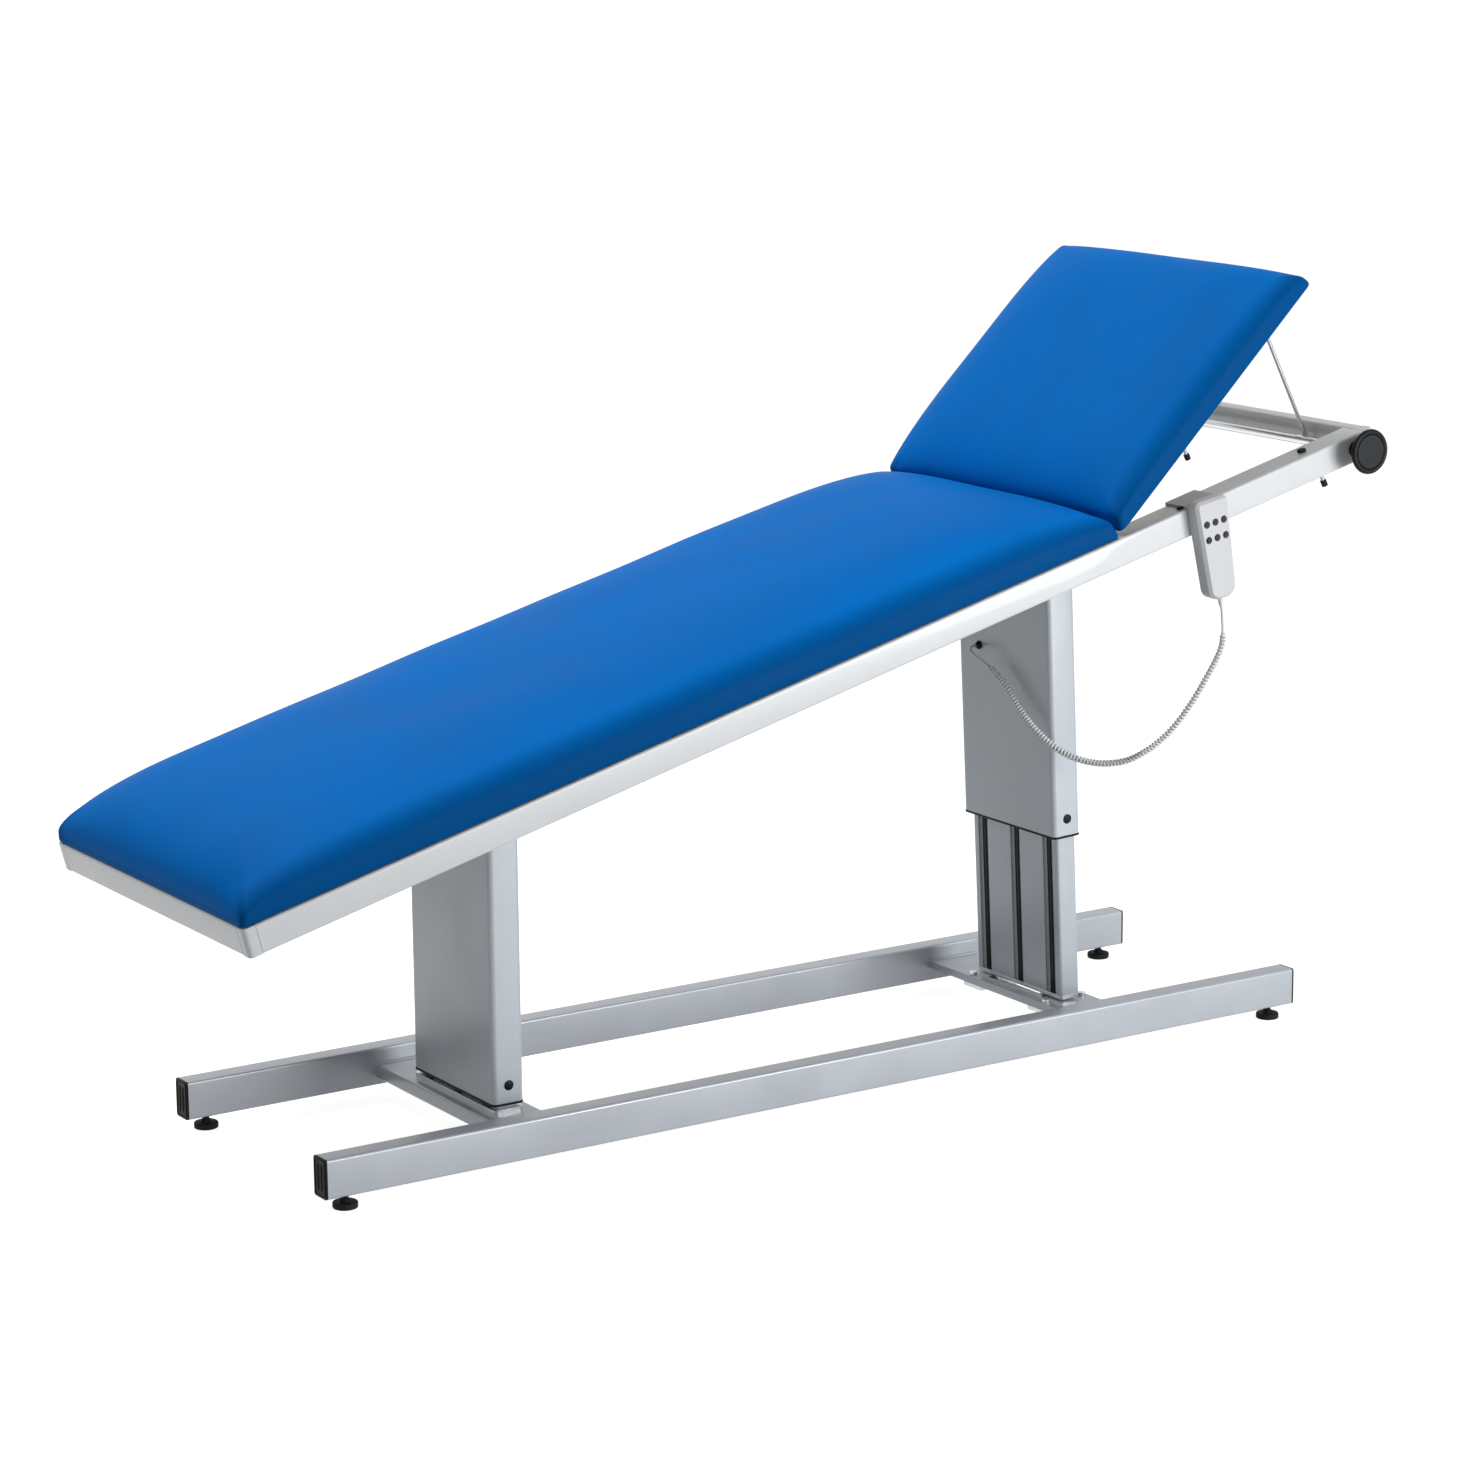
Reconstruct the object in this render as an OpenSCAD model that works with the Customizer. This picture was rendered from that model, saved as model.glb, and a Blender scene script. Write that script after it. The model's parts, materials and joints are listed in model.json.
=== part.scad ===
// Height-adjustable examination table on two lifting columns.
// X runs from the foot end to the head end, Y across the table and Z up from the floor.
// The origin lies on the floor under the middle of the table.

/* [Floor frame] */
// Length of the two floor rails
base_l = 1725; // [1400:5:2000]
// Width over the outsides of the two floor rails
base_w = 475; // [440:5:600]
// Middle of the floor rails along the table
base_x = 25; // [-60:5:60]
// Width of a floor rail
base_rail_w = 36; // [34:1:50]
// Height of a floor rail
base_rail_h = 58; // [50:1:80]
// Wall of a floor rail
base_rail_wall = 2.5; // [1.5:0.5:4]
// Corner radius of a floor rail
base_rail_r = 4; // [4:0.5:6]
// Height of the floor rails' underside over the floor
base_clear = 21; // [21:1:40]
// Width of a cross member along the table
cross_w = 90; // [84:1:110]
// Drop of the cross members' top below the rails' top
cross_drop = 25; // [22:1:34]
// Height of the foot end's cross member, a flat tube
foot_cross_h = 22; // [18:1:24]
// Thickness of the head end's cross member, a plate
head_cross_h = 12; // [10:1:14]

/* [Levelling feet] */
// Distance of a levelling foot from the end of its rail
foot_inset = 35; // [25:1:80]
// Diameter of a levelling foot's disc
foot_d = 36; // [28:1:50]
// Height of a levelling foot's disc
foot_h = 9; // [7:1:12]
// Diameter of a levelling foot's stud
stud_d = 10; // [8:1:12]
// Length of a levelling foot's stud above its disc
stud_l = 42; // [32:1:50]
// Outside diameter of the threaded insert for a stud
insert_d = 18; // [16:1:22]
// Height of the threaded insert inside the rail
insert_h = 14; // [8:1:24]

/* [Columns] */
// Position of the foot column along the table
foot_column_x = -482; // [-520:1:-440]
// Distance between the two columns along the table
column_span = 1020; // [900:5:1100]
// Width of a column's outer profile across the table
outer_w = 239; // [200:1:260]
// Depth of a column's outer profile along the table
outer_d = 51; // [50:1:56]
// Corner radius of the outer profile
outer_r = 8; // [6:0.5:12]
// Wall of the outer profile
outer_wall = 3; // [2:0.5:3]
// Length of the outer profile
outer_l = 430; // [425:1:460]
// Height of the lowered outer profile over the cross member
outer_clear = 14; // [14:1:24]
// Width of a column's inner profile
inner_w = 222; // [190:1:226]
// Depth of a column's inner profile
inner_d = 36; // [34:1:36]
// Corner radius of the inner profile
inner_r = 5; // [3:0.5:8]
// Wall of the inner profile
inner_wall = 2.5; // [2:0.5:2.5]
// Length of the inner profile
inner_l = 425; // [380:1:425]
// Width of a groove in the inner profile
groove_w = 25; // [16:1:28]
// Depth of a groove
groove_depth = 4; // [2:0.5:4.5]
// Distance between the grooves' middles
groove_pitch = 85; // [82:1:88]
// Height of the glide collar inside the outer profile
collar_h = 12; // [8:1:20]
// Thickness of the collar's lip under the outer profile
collar_lip = 2; // [1.5:0.5:4]
// Diameter of a round cover plug in a column's narrow face
plug_d = 15; // [10:1:20]
// Height of a cover plug above the outer profile's lower end
plug_up = 27; // [20:1:60]
// Height of the cord's gland above the outer profile's lower end
gland_up = 279; // [150:1:380]
// Sideways place of the cord's gland
gland_y = 63; // [40:1:90]
// Diameter of the cord's gland
gland_d = 14; // [12:1:20]
// Reach of the cord's gland out of the column
gland_l = 7; // [5:1:12]

/* [Lift drives] */
// Diameter of a push tube
push_d = 22; // [22:0.5:22.5]
// Wall of a push tube
push_wall = 1; // [1:0.1:1.2]
// Length of a push tube
push_l = 400; // [390:1:400]
// Diameter of a spindle
spindle_d = 11; // [8:1:11]
// Length of a spindle above its gearbox
spindle_l = 392; // [380:1:400]
// Width of a gearbox across the table
gearbox_w = 116; // [112:1:124]
// Depth of a gearbox
gearbox_d = 20; // [16:1:21]
// Height of a gearbox
gearbox_h = 26; // [20:1:28]
// Diameter of a lift motor
motor_d = 26; // [22:1:28]
// Length of a lift motor
motor_l = 100; // [80:1:140]

/* [Column pivots] */
// Height of a column's upper pivot over its cap
pivot_rise = 37; // [34:1:45]
// Thickness of a column's cap and of the foot plates
cap_t = 6; // [5:0.5:8]
// Diameter of the pivot pins
pin_d = 14; // [10:1:14]
// Radius of the ears round the pivot pins
ear_r = 15; // [13:0.5:16]
// Width of an ear where it stands on its plate
ear_foot = 38; // [34:1:40]
// Thickness of the ears and lugs
ear_t = 6; // [5:0.5:8]
// Distance of an ear's outer face from the table's middle
ear_y = 62; // [40:1:64]
// Thickness of the brackets' flanges under the head end's cross member
bracket_t = 6; // [5:0.5:8]
// Width of the brackets' flanges across the table
flange_w = 46; // [40:1:48]
// Depth of the head column's lower pivot below the cross member's top
base_pivot_drop = 14; // [14:1:16]
// Height of the head column's foot plate above its lower pivot
base_pivot_rise = 17; // [17:0.5:20]

/* [Table frame] */
// Length of the table frame
frame_l = 2022; // [2022:1:2060]
// Width of the table frame and of the cushions
frame_w = 600; // [600:5:700]
// Tilt of the table frame as shown, head end up
table_tilt = 14.53; // [13:0.01:14.6]
// Width of a side rail
side_w = 50; // [40:1:60]
// Height of the frame's rails
side_h = 43; // [43:1:50]
// Wall of the frame's rails
side_wall = 2.5; // [2:0.5:4]
// Corner radius of the rails' edges
side_r = 4; // [4:0.5:6]
// Depth of the end rails along the table
end_w = 20; // [18:1:20]
// Radius of the frame's upright corners
corner_r = 8; // [5:0.5:10]
// Width and height of a crossbar
bar_w = 30; // [24:1:30]
// Height of the slats under the main board
slat_h = 20; // [14:1:24]
// Distance of the foot column's pivot from the frame's foot end
pivot_s = 511; // [480:1:515]
// Depth of the column pivots below the rails' top
pivot_depth = 30; // [30:1:31]
// Distance between a pivot and the crossbars beside it
bar_gap = 25; // [22:1:25]

/* [Boards and cushions] */
// Distance of the head section's hinge from the frame's head end
hinge_back = 500; // [498:1:503]
// Depth of the hinge's axis below the rails' top
hinge_drop = 5; // [5:0.5:6]
// Rise of the head section as shown, measured from the frame
head_tilt = 29.74; // [28:0.01:30]
// Reach of the head cushion beyond the hinge
head_l = 507; // [490:1:520]
// Height of the lowered head section over the rails
head_lift = 4; // [4:0.5:6]
// Thickness of the boards
board_t = 12; // [9:1:15]
// Inset of the boards from the cushions' outline
board_in = 10; // [8:1:20]
// Height of a cushion's sides
edge_h = 24; // [20:1:30]
// Crown of the main cushion over its sides
main_crown = 72; // [40:1:80]
// Crown of the head cushion over its sides
head_crown = 58; // [30:1:60]
// How far the cushions' ends lean back at the hinge
hinge_lean = 11; // [11:0.5:14]
// How far the cushions' sides are drawn in below
draw_in = 3; // [1:0.5:6]

/* [Head section's hinges] */
// Diameter of a hinge's knuckles
knuckle_d = 9; // [8:0.5:9]
// Diameter of a hinge pin
hinge_pin_d = 5; // [4:0.5:5]
// Length of a hinge
hinge_l = 60; // [40:1:100]
// Thickness of a hinge's leaves
leaf_t = 2.5; // [2:0.5:2.5]
// Width of a hinge's leaves
leaf_w = 40; // [30:1:44]
// Distance of a hinge's middle from the inside of its side rail
hinge_in = 50; // [40:1:100]

/* [Head stays and clamp] */
// Distance of the stays' pivot from the hinge
stay_r = 474.5; // [474:0.1:474.6]
// Depth of the stays' pivot below the hinge's axis with the head section level
stay_drop = 7.5; // [7:0.1:7.6]
// Distance of a stay from the inside of its side rail
stay_in = 79; // [60:1:130]
// Diameter of a stay
stay_d = 6; // [5:0.5:6]
// Length of a stay down to its cap
stay_l = 333; // [333:1:340]
// Diameter of a stay's eye
eye_d = 10; // [9:0.5:10]
// Diameter of a stay's pivot pin
stay_pin_d = 5; // [4:0.5:5]
// Thickness of the cheeks and lugs beside a stay
cheek_t = 3; // [2:0.5:4]
// Diameter and length of a stay's end cap
cap_d = 10; // [9:0.5:10]
// Distance of the clamp rod from the frame's head end
clamp_back = 42; // [41.5:0.5:42.5]
// Distance of the stays from the clamp rod's axis where they pass it
stay_clear = 12; // [11.8:0.1:12]
// Depth of the clamp rod below the rails' top
clamp_depth = 22; // [22:0.5:22.5]
// Diameter of the clamp rod
clamp_d = 12; // [10:0.5:12]
// Diameter of a cam on the clamp rod
cam_d = 14; // [13.5:0.5:14]
// Width of a cam
cam_w = 12; // [8:1:16]
// Gap between a cam and its stay
cam_gap = 0.6; // [0.5:0.1:1]
// Outside diameter of the clamp rod's bushes
bush_d = 18; // [16:1:20]
// Diameter of a hand wheel
wheel_d = 70; // [50:1:90]
// Thickness of a hand wheel's rim
wheel_t = 9; // [7:1:14]
// Distance of a hand wheel's outer face from the frame's side
wheel_out = 38; // [30:1:50]
// Diameter of a hand wheel's hub
hub_d = 26; // [20:1:34]

/* [Handset] */
// Distance of the hung handset's middle from the frame's head end
handset_from_head = 347.5; // [322:0.5:362]
// Swing of the hung handset out of square with the rail
handset_swing = 4; // [0:0.5:6]
// Width of the handset
handset_w = 62; // [60:1:70]
// Width of the handset at its lower end
handset_low_w = 52; // [46:1:60]
// Length of the handset below the rail's top
handset_l = 148; // [120:1:160]
// Rise of the handset above the rail's top
handset_up = 9; // [9:1:12]
// Thickness of the handset's back half
handset_back_t = 12.5; // [10:0.5:16]
// Thickness of the handset's front half
handset_front_t = 12.5; // [11:0.5:16]
// Thickness of the hook over the rail
hook_t = 3; // [2:0.1:3]
// Diameter of a button
button_d = 8.6; // [6:0.1:11]
// Distance between the buttons' columns
button_dx = 16.5; // [14:0.5:17]
// Distance between the buttons' rows
button_dz = 24.5; // [14:0.5:28]
// Depth of the upper row of buttons below the rail's top
button_top = 27; // [16:1:40]
// How far a button stands out
button_out = 1.2; // [1:0.1:2.5]
// Length of the sleeve where the cord leaves the handset
sleeve_l = 14; // [8:1:20]

/* [Curly cord] */
// Diameter of the cord
wire_d = 4.6; // [3.6:0.2:4.8]
// Radius of the cord's curls at the middle of the wire
curl_r = 4.5; // [4:0.1:5]
// Number of curls
curls = 68; // [40:1:70]

/* [Control unit] */
// Distance of the control unit from the foot end
unit_s = 1080; // [1040:5:1120]
// Length of the control unit
unit_l = 220; // [150:5:260]
// Width of the control unit
unit_w = 150; // [100:5:180]
// Height of the control unit
unit_h = 40; // [30:1:43]
// Sideways place of the control unit's near side
unit_y = 40; // [20:5:60]

/* [Clearances] */
// Radial play of a pin or shaft that turns
run_fit = 0.06; // [0.03:0.01:0.1]
// Radial play of a pin that stays put
seat_fit = 0.02; // [0.01:0.01:0.03]
// Side play between moving cheeks and ears
side_fit = 0.5; // [0.3:0.1:0.8]
// Play between a glide and the profile that slides on it
glide_fit = 0.3; // [0.25:0.05:0.4]

/* [Hidden] */
$fn = 48;

// Amount by which a cut runs past the faces it opens
over = 1;
// Heights on the floor frame
base_top = base_clear + base_rail_h;
cross_z = base_top - cross_drop;
cross_y = base_w / 2 - base_rail_w;
rail_y = (base_w - base_rail_w) / 2;
// Screws of the floor frame, and the wider holes that they pass
screw_d = 8;
screw_head_d = 13;
screw_head_h = 5;
screw_in = 10;
pass_d = screw_d + 0.5;
// Plate that is left beside the head cross member's window, and the window's side play
window_rim = 21;
window_play = 6;
lug_gap = 4;
pin_head_d = pin_d + 7;
// Upper pivots and the lean of the head column between its two pivots
outer_z = cross_z + outer_clear;
top_drop = cap_t + pivot_rise;
foot_pivot = [foot_column_x, 0, outer_z + outer_l + top_drop];
head_pivot = foot_pivot + column_span * [cos(table_tilt), 0, sin(table_tilt)];
base_pivot = [foot_column_x + column_span, 0, cross_z - base_pivot_drop];
head_reach = norm(head_pivot - base_pivot);
head_lean = atan2(base_pivot.x - head_pivot.x, head_pivot.z - base_pivot.z);
head_outer_z = head_reach - top_drop - outer_l;
// The head column's profiles need play along the table while it changes its lean
cavity_d = outer_d - 2 * outer_wall;
lean_least = 0.75;
lean_play = (cavity_d - inner_d) / 2 - lean_least;
drive_y = groove_pitch / 2;
plug_neck = plug_d - 5;
gland_neck = gland_d - 4;
// Frame's corner at its foot end on the rails' top
frame_origin = foot_pivot - pivot_s * [cos(table_tilt), 0, sin(table_tilt)]
    + pivot_depth * [-sin(table_tilt), 0, cos(table_tilt)];
head_pivot_s = pivot_s + column_span;
half_w = frame_w / 2;
inside_y = half_w - side_w;
end_in_s = frame_l - end_w;
hinge_s = frame_l - hinge_back;
clamp_s = frame_l - clamp_back;
handset_s = frame_l - handset_from_head;
hinge_y = inside_y - hinge_in;
stay_y = inside_y - stay_in;
// Places of the slats under the main board, and the wall of slats and crossbars
slat_foot = 250;
slat_mid = 450;
slat_head = 64;
slat_s = [slat_foot, pivot_s + slat_mid, hinge_s - slat_head];
bar_wall = 2;
bar_r = 3;
// Boards and cushions
main_l = hinge_s - 2;
head_start = 3.5;
leaf_at = 4;
head_under = hinge_drop + head_lift;
board_fit = 0.2;
// How square the crown runs out at each end: a higher power keeps it up for longer
main_round = [2.5, 5];
head_round = [4, 3];
cushion_lean = 3;
crown_steps = 24;
crown_rows = 14;
head_steps = 16;
// Stays: their pivot, the place where the clamp grips them and their lean
stay_side = cheek_t + side_fit;
eye_w = 5;
cap_floor = 2;
stay_pivot = [hinge_s + stay_r * cos(head_tilt) + stay_drop * sin(head_tilt),
    stay_r * sin(head_tilt) - stay_drop * cos(head_tilt) - hinge_drop];
grip_s = clamp_s + stay_clear;
stay_lean = atan2(grip_s - stay_pivot.x, stay_pivot.y + clamp_depth);
cheek_h = 13;
cheek_w = 12;
// Cam's middle, off the rod's axis, so that its high side all but meets the leaning stay
cam_off = stay_clear * cos(stay_lean) - stay_d / 2 - cam_gap - cam_d / 2;
// Depth of a hand wheel's web behind the rim's outer side
wheel_sunk = 3;
// Handset
handset_gap = 1;
hook_play = 0.4;
hook_drop = 16;
hook_w = handset_w - 4;
handset_y = -half_w - handset_gap;
handset_mid_y = handset_y - handset_back_t;
handset_face_y = handset_mid_y - handset_front_t;
button_depth = 7;
button_travel = 1;
button_floor = 0.3;
button_rise = button_depth - button_travel - button_floor;
pad_play = 0.2;

// Places in the table frame, on the head column and on the hung handset
function frame_point(s, y, t) = frame_origin
    + s * [cos(table_tilt), 0, sin(table_tilt)] + [0, y, 0]
    + t * [-sin(table_tilt), 0, cos(table_tilt)];
function column_point(x, y, z) = base_pivot
    + x * [cos(head_lean), 0, sin(head_lean)] + [0, y, 0]
    + z * [-sin(head_lean), 0, cos(head_lean)];
function handset_point(u, y, v) = frame_point(
    handset_s + u * cos(handset_swing) + v * sin(handset_swing), y,
    v * cos(handset_swing) - u * sin(handset_swing));

module on_frame() translate(frame_origin) rotate([0, -table_tilt, 0]) children();
module on_head() on_frame() translate([hinge_s, 0, -hinge_drop]) rotate([0, -head_tilt, 0])
    children();
module on_stay(side) on_frame() translate([stay_pivot.x, side * stay_y, stay_pivot.y])
    rotate([0, -stay_lean, 0]) children();
module on_clamp() on_frame() translate([clamp_s, 0, -clamp_depth]) children();
module on_handset() on_frame() translate([handset_s, 0, 0]) rotate([0, handset_swing, 0])
    children();
module on_foot_column() translate([foot_column_x, 0, 0]) children();
module on_head_column() translate(base_pivot) rotate([0, -head_lean, 0]) children();

// Outline with round corners, made of exact arcs
module rounded(w, h, r) {
    square([w - 2 * r, h], center = true);
    square([w, h - 2 * r], center = true);
    for (x = [-1, 1], y = [-1, 1])
        translate([x * (w / 2 - r), y * (h / 2 - r)]) circle(r);
}
module ring(w, h, r, wall) difference() {
    rounded(w, h, r);
    rounded(w - 2 * wall, h - 2 * wall, max(r - wall, 0.5));
}
// Extrusions along X and Y: the outline's X lies across, its Y points up
module along_x(l) rotate([90, 0, 90]) linear_extrude(l) children();
module along_y(l) rotate([90, 0, 0]) linear_extrude(l, center = true) children();
module rod_y(d, l) rotate([90, 0, 0]) cylinder(d = d, h = l, center = true);
module tube_y(d, bore, l) difference() {
    rod_y(d, l);
    rod_y(bore, l + 2 * over);
}

// Floor frame
module foot_places() for (side = [-1, 1], end = [-1, 1])
    translate([base_x + end * (base_l / 2 - foot_inset), side * rail_y, 0]) children();

module base_rails() color([0.78, 0.80, 0.83]) difference() {
    for (side = [-1, 1])
        translate([base_x - base_l / 2, side * rail_y, base_clear + base_rail_h / 2])
            along_x(base_l) ring(base_rail_w, base_rail_h, base_rail_r, base_rail_wall);
    foot_places() translate([0, 0, base_clear - over])
        cylinder(d = insert_d + 2 * seat_fit, h = base_rail_wall + 2 * over);
}
module base_rail_plugs() color([0.08, 0.08, 0.09]) {
    flange = 3;
    neck = 14;
    neck_in = base_rail_wall + 0.2;
    neck_wall = 2;
    for (side = [-1, 1], end = [-1, 1])
        translate([base_x + end * base_l / 2, side * rail_y, base_clear + base_rail_h / 2])
            rotate([0, 0, end > 0 ? 0 : 180]) {
                along_x(flange) rounded(base_rail_w, base_rail_h, base_rail_r);
                translate([-neck, 0, 0]) along_x(neck) ring(base_rail_w - 2 * neck_in,
                    base_rail_h - 2 * neck_in, base_rail_r - 2, neck_wall);
            }
}
module foot_inserts() color([0.6, 0.6, 0.62]) foot_places() translate([0, 0, base_clear])
    difference() {
        shoulder_d = insert_d + 6;
        union() {
            cylinder(d = insert_d, h = base_rail_wall);
            translate([0, 0, base_rail_wall]) cylinder(d = shoulder_d, h = insert_h - base_rail_wall);
        }
        translate([0, 0, -over]) cylinder(d = stud_d + 2 * run_fit, h = insert_h + 2 * over);
    }
// A disc with a rounded foot, its hexagon and the stud
module levelling_foot(end, side) color([0.07, 0.07, 0.08])
    translate([base_x + end * (base_l / 2 - foot_inset), side * rail_y, 0]) {
        edge_r = 2;
        rotate_extrude() {
            square([foot_d / 2 - edge_r, foot_h]);
            translate([0, edge_r]) square([foot_d / 2, foot_h - 2 * edge_r]);
            for (z = [edge_r, foot_h - edge_r]) translate([foot_d / 2 - edge_r, z]) circle(edge_r);
        }
        translate([0, 0, foot_h]) cylinder(d = stud_d, h = stud_l);
        translate([0, 0, foot_h]) cylinder(d = stud_d + 6, h = 4, $fn = 6);
    }
module foot_cross_member() color([0.75, 0.77, 0.80])
    difference() {
        translate([foot_column_x, -cross_y, cross_z - foot_cross_h / 2])
            rotate([-90, 0, 0]) linear_extrude(2 * cross_y)
                ring(cross_w, foot_cross_h, 3, 2.5);
        on_foot_column() base_plate_holes() cylinder(d = pass_d, h = foot_cross_h + 2 * over);
    }
module base_plate_holes() for (x = [-1, 1], y = [-1, 1])
    translate([x * outer_d / 4, y * outer_w / 3, cross_z - foot_cross_h - over]) children();
module bracket_holes() for (x = [-1, 1], y = [-1, 1])
    translate([base_pivot.x + x * (cross_w / 2 - screw_in),
        y * (ear_y + side_fit + flange_w * 3 / 4), cross_z]) children();

module head_cross_member() color([0.75, 0.77, 0.80]) difference() {
    translate([base_pivot.x, 0, cross_z - head_cross_h / 2])
        cube([cross_w, 2 * cross_y, head_cross_h], center = true);
    translate([base_pivot.x, 0, cross_z - head_cross_h / 2])
        cube([cross_w - 2 * window_rim, 2 * (ear_y + ear_t + window_play),
            head_cross_h + 2 * over], center = true);
    bracket_holes() translate([0, 0, -head_cross_h - over])
        cylinder(d = pass_d, h = head_cross_h + 2 * over);
}
module foot_base_plate() color([0.7, 0.72, 0.75]) on_foot_column() difference() {
    translate([0, 0, cross_z]) linear_extrude(cap_t) rounded(outer_d, outer_w, outer_r);
    base_plate_holes()
        cylinder(d = screw_d + 2 * seat_fit, h = foot_cross_h + cap_t + 3 * over);
}
// Screws that hold the foot column from below and the pivot brackets from above
module base_screws() color([0.85, 0.85, 0.86]) {
    on_foot_column() base_plate_holes() translate([0, 0, over - screw_head_h]) {
        cylinder(d = screw_head_d, h = screw_head_h);
        cylinder(d = screw_d, h = screw_head_h + foot_cross_h + cap_t - 0.5);
    }
    bracket_holes() {
        cylinder(d = screw_head_d, h = screw_head_h);
        translate([0, 0, -head_cross_h - bracket_t])
            cylinder(d = screw_d, h = head_cross_h + bracket_t);
    }
}
// Angle under the cross member's plate: a flange and an upright lug with the pivot's bore
module base_pivot_brackets() color([0.7, 0.72, 0.75]) {
    lug_y = ear_y + side_fit;
    flange_z = cross_z - head_cross_h - bracket_t;
    for (side = [-1, 1]) difference() {
        union() {
            translate([base_pivot.x, side * (lug_y + ear_t / 2), base_pivot.z])
                along_y(ear_t) lug_outline();
            translate([base_pivot.x - cross_w / 2, side > 0 ? lug_y : -lug_y - flange_w, flange_z])
                cube([cross_w, flange_w, bracket_t]);
        }
        translate([base_pivot.x, 0, base_pivot.z]) rod_y(pin_d + 2 * seat_fit, base_w);
        translate([base_pivot.x, side * (lug_y + ear_t + window_play / 2), base_pivot.z])
            rod_y(pin_head_d + 3, window_play);
        bracket_holes() translate([0, 0, -head_cross_h - bracket_t - over])
            cylinder(d = screw_d + 2 * seat_fit, h = bracket_t + 2 * over);
    }
}
module lug_outline() {
    circle(ear_r);
    translate([-ear_r, 0]) square([2 * ear_r, base_pivot_drop - lug_gap]);
}
module base_pivot_pin() color([0.6, 0.61, 0.63]) translate(base_pivot) pivot_pin();
// Pin with a head at one end and a ring clip at the other
module pivot_pin() {
    reach = ear_y + side_fit + ear_t;
    head_t = 3;
    clip_t = 1.5;
    rod_y(pin_d, 2 * (reach + head_t + 0.5));
    translate([0, -reach - head_t / 2 - seat_fit, 0]) rod_y(pin_head_d, head_t);
    translate([0, reach + clip_t, 0]) rod_y(pin_d + 5, clip_t);
}

// Column profiles
module grooved(d, w, r, groove) difference() {
    rounded(d, w, r);
    for (side = [-1, 1], y = [-1:1]) translate([side * d / 2, y * groove_pitch])
        square([2 * groove_depth, groove], center = true);
}
module inner_profile() linear_extrude(inner_l) difference() {
    grooved(inner_d, inner_w, inner_r, groove_w);
    grooved(inner_d - 2 * inner_wall, inner_w - 2 * inner_wall, max(inner_r - inner_wall, 0.5),
        groove_w + 2 * inner_wall);
}
module outer_profile() difference() {
    linear_extrude(outer_l) ring(outer_d, outer_w, outer_r, outer_wall);
    translate([0, 0, plug_up]) rod_y(plug_neck + 2 * seat_fit, outer_w + 2 * over);
}
// Plastic collar at the outer profile's lower end: a lip and the glides inside
module collar(all_round) {
    translate([0, 0, -collar_lip]) linear_extrude(collar_lip) difference() {
        rounded(outer_d - 1, outer_w - 1, outer_r - 0.5);
        collar_opening(all_round);
    }
    linear_extrude(collar_h) difference() {
        rounded(cavity_d, outer_w - 2 * outer_wall, max(outer_r - outer_wall, 0.5));
        collar_opening(all_round);
    }
}
module collar_opening(all_round) {
    if (all_round)
        rounded(inner_d + 2 * glide_fit, inner_w + 2 * glide_fit, inner_r + glide_fit);
    else
        square([cavity_d, inner_w + 2 * glide_fit], center = true);
}
module cover_plugs() translate([0, 0, plug_up]) for (side = [-1, 1])
    translate([0, side * outer_w / 2, 0]) rotate([-90 * side, 0, 0]) {
        translate([0, 0, -outer_wall]) cylinder(d = plug_neck, h = outer_wall);
        cylinder(d = plug_d, h = 1);
        translate([0, 0, 1]) cylinder(d1 = plug_d, d2 = plug_d - 3, h = 1);
    }
// Two ears with the pivot's bore on a plate
module ears(rise) for (side = [-1, 1])
    translate([0, side * (ear_y - ear_t / 2), 0]) along_y(ear_t) difference() {
        union() {
            translate([0, rise]) circle(ear_r);
            polygon([[-ear_foot / 2, 0], [ear_foot / 2, 0], [ear_r, rise], [-ear_r, rise]]);
        }
        translate([0, rise]) circle(d = pin_d + 2 * run_fit);
    }
module column_cap() {
    linear_extrude(cap_t) rounded(outer_d, outer_w, outer_r);
    translate([0, 0, cap_t]) ears(pivot_rise);
}
module push_tube() translate([0, drive_y, -push_l]) difference() {
    cylinder(d = push_d, h = push_l);
    translate([0, 0, -over]) cylinder(d = push_d - 2 * push_wall, h = push_l - 4 + over);
}
// Gearbox, motor and threaded spindle on a column's foot plate
module gearmotor() {
    linear_extrude(gearbox_h) rounded(gearbox_d, gearbox_w, 4);
    translate([0, -drive_y, gearbox_h]) cylinder(d = motor_d, h = motor_l);
    translate([0, drive_y, gearbox_h]) cylinder(d = spindle_d, h = spindle_l);
    translate([0, drive_y, gearbox_h]) cylinder(d = spindle_d + 5, h = 2);
}

// Foot column
module foot_inner_column() color([0.72, 0.75, 0.78]) on_foot_column()
    translate([0, 0, cross_z + cap_t]) inner_profile();
module foot_gearmotor() color([0.3, 0.31, 0.33]) on_foot_column()
    translate([0, 0, cross_z + cap_t]) gearmotor();
module foot_outer_column() color([0.72, 0.75, 0.78]) on_foot_column()
    translate([0, 0, outer_z]) outer_profile();
module foot_collar() color([0.1, 0.1, 0.11]) on_foot_column()
    translate([0, 0, outer_z]) collar(true);
module foot_cover_plugs() color([0.05, 0.05, 0.06]) on_foot_column()
    translate([0, 0, outer_z]) cover_plugs();
module foot_column_cap() color([0.75, 0.77, 0.8]) on_foot_column()
    translate([0, 0, outer_z + outer_l]) column_cap();
module foot_push_tube() color([0.8, 0.8, 0.82]) on_foot_column()
    translate([0, 0, outer_z + outer_l]) push_tube();

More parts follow.
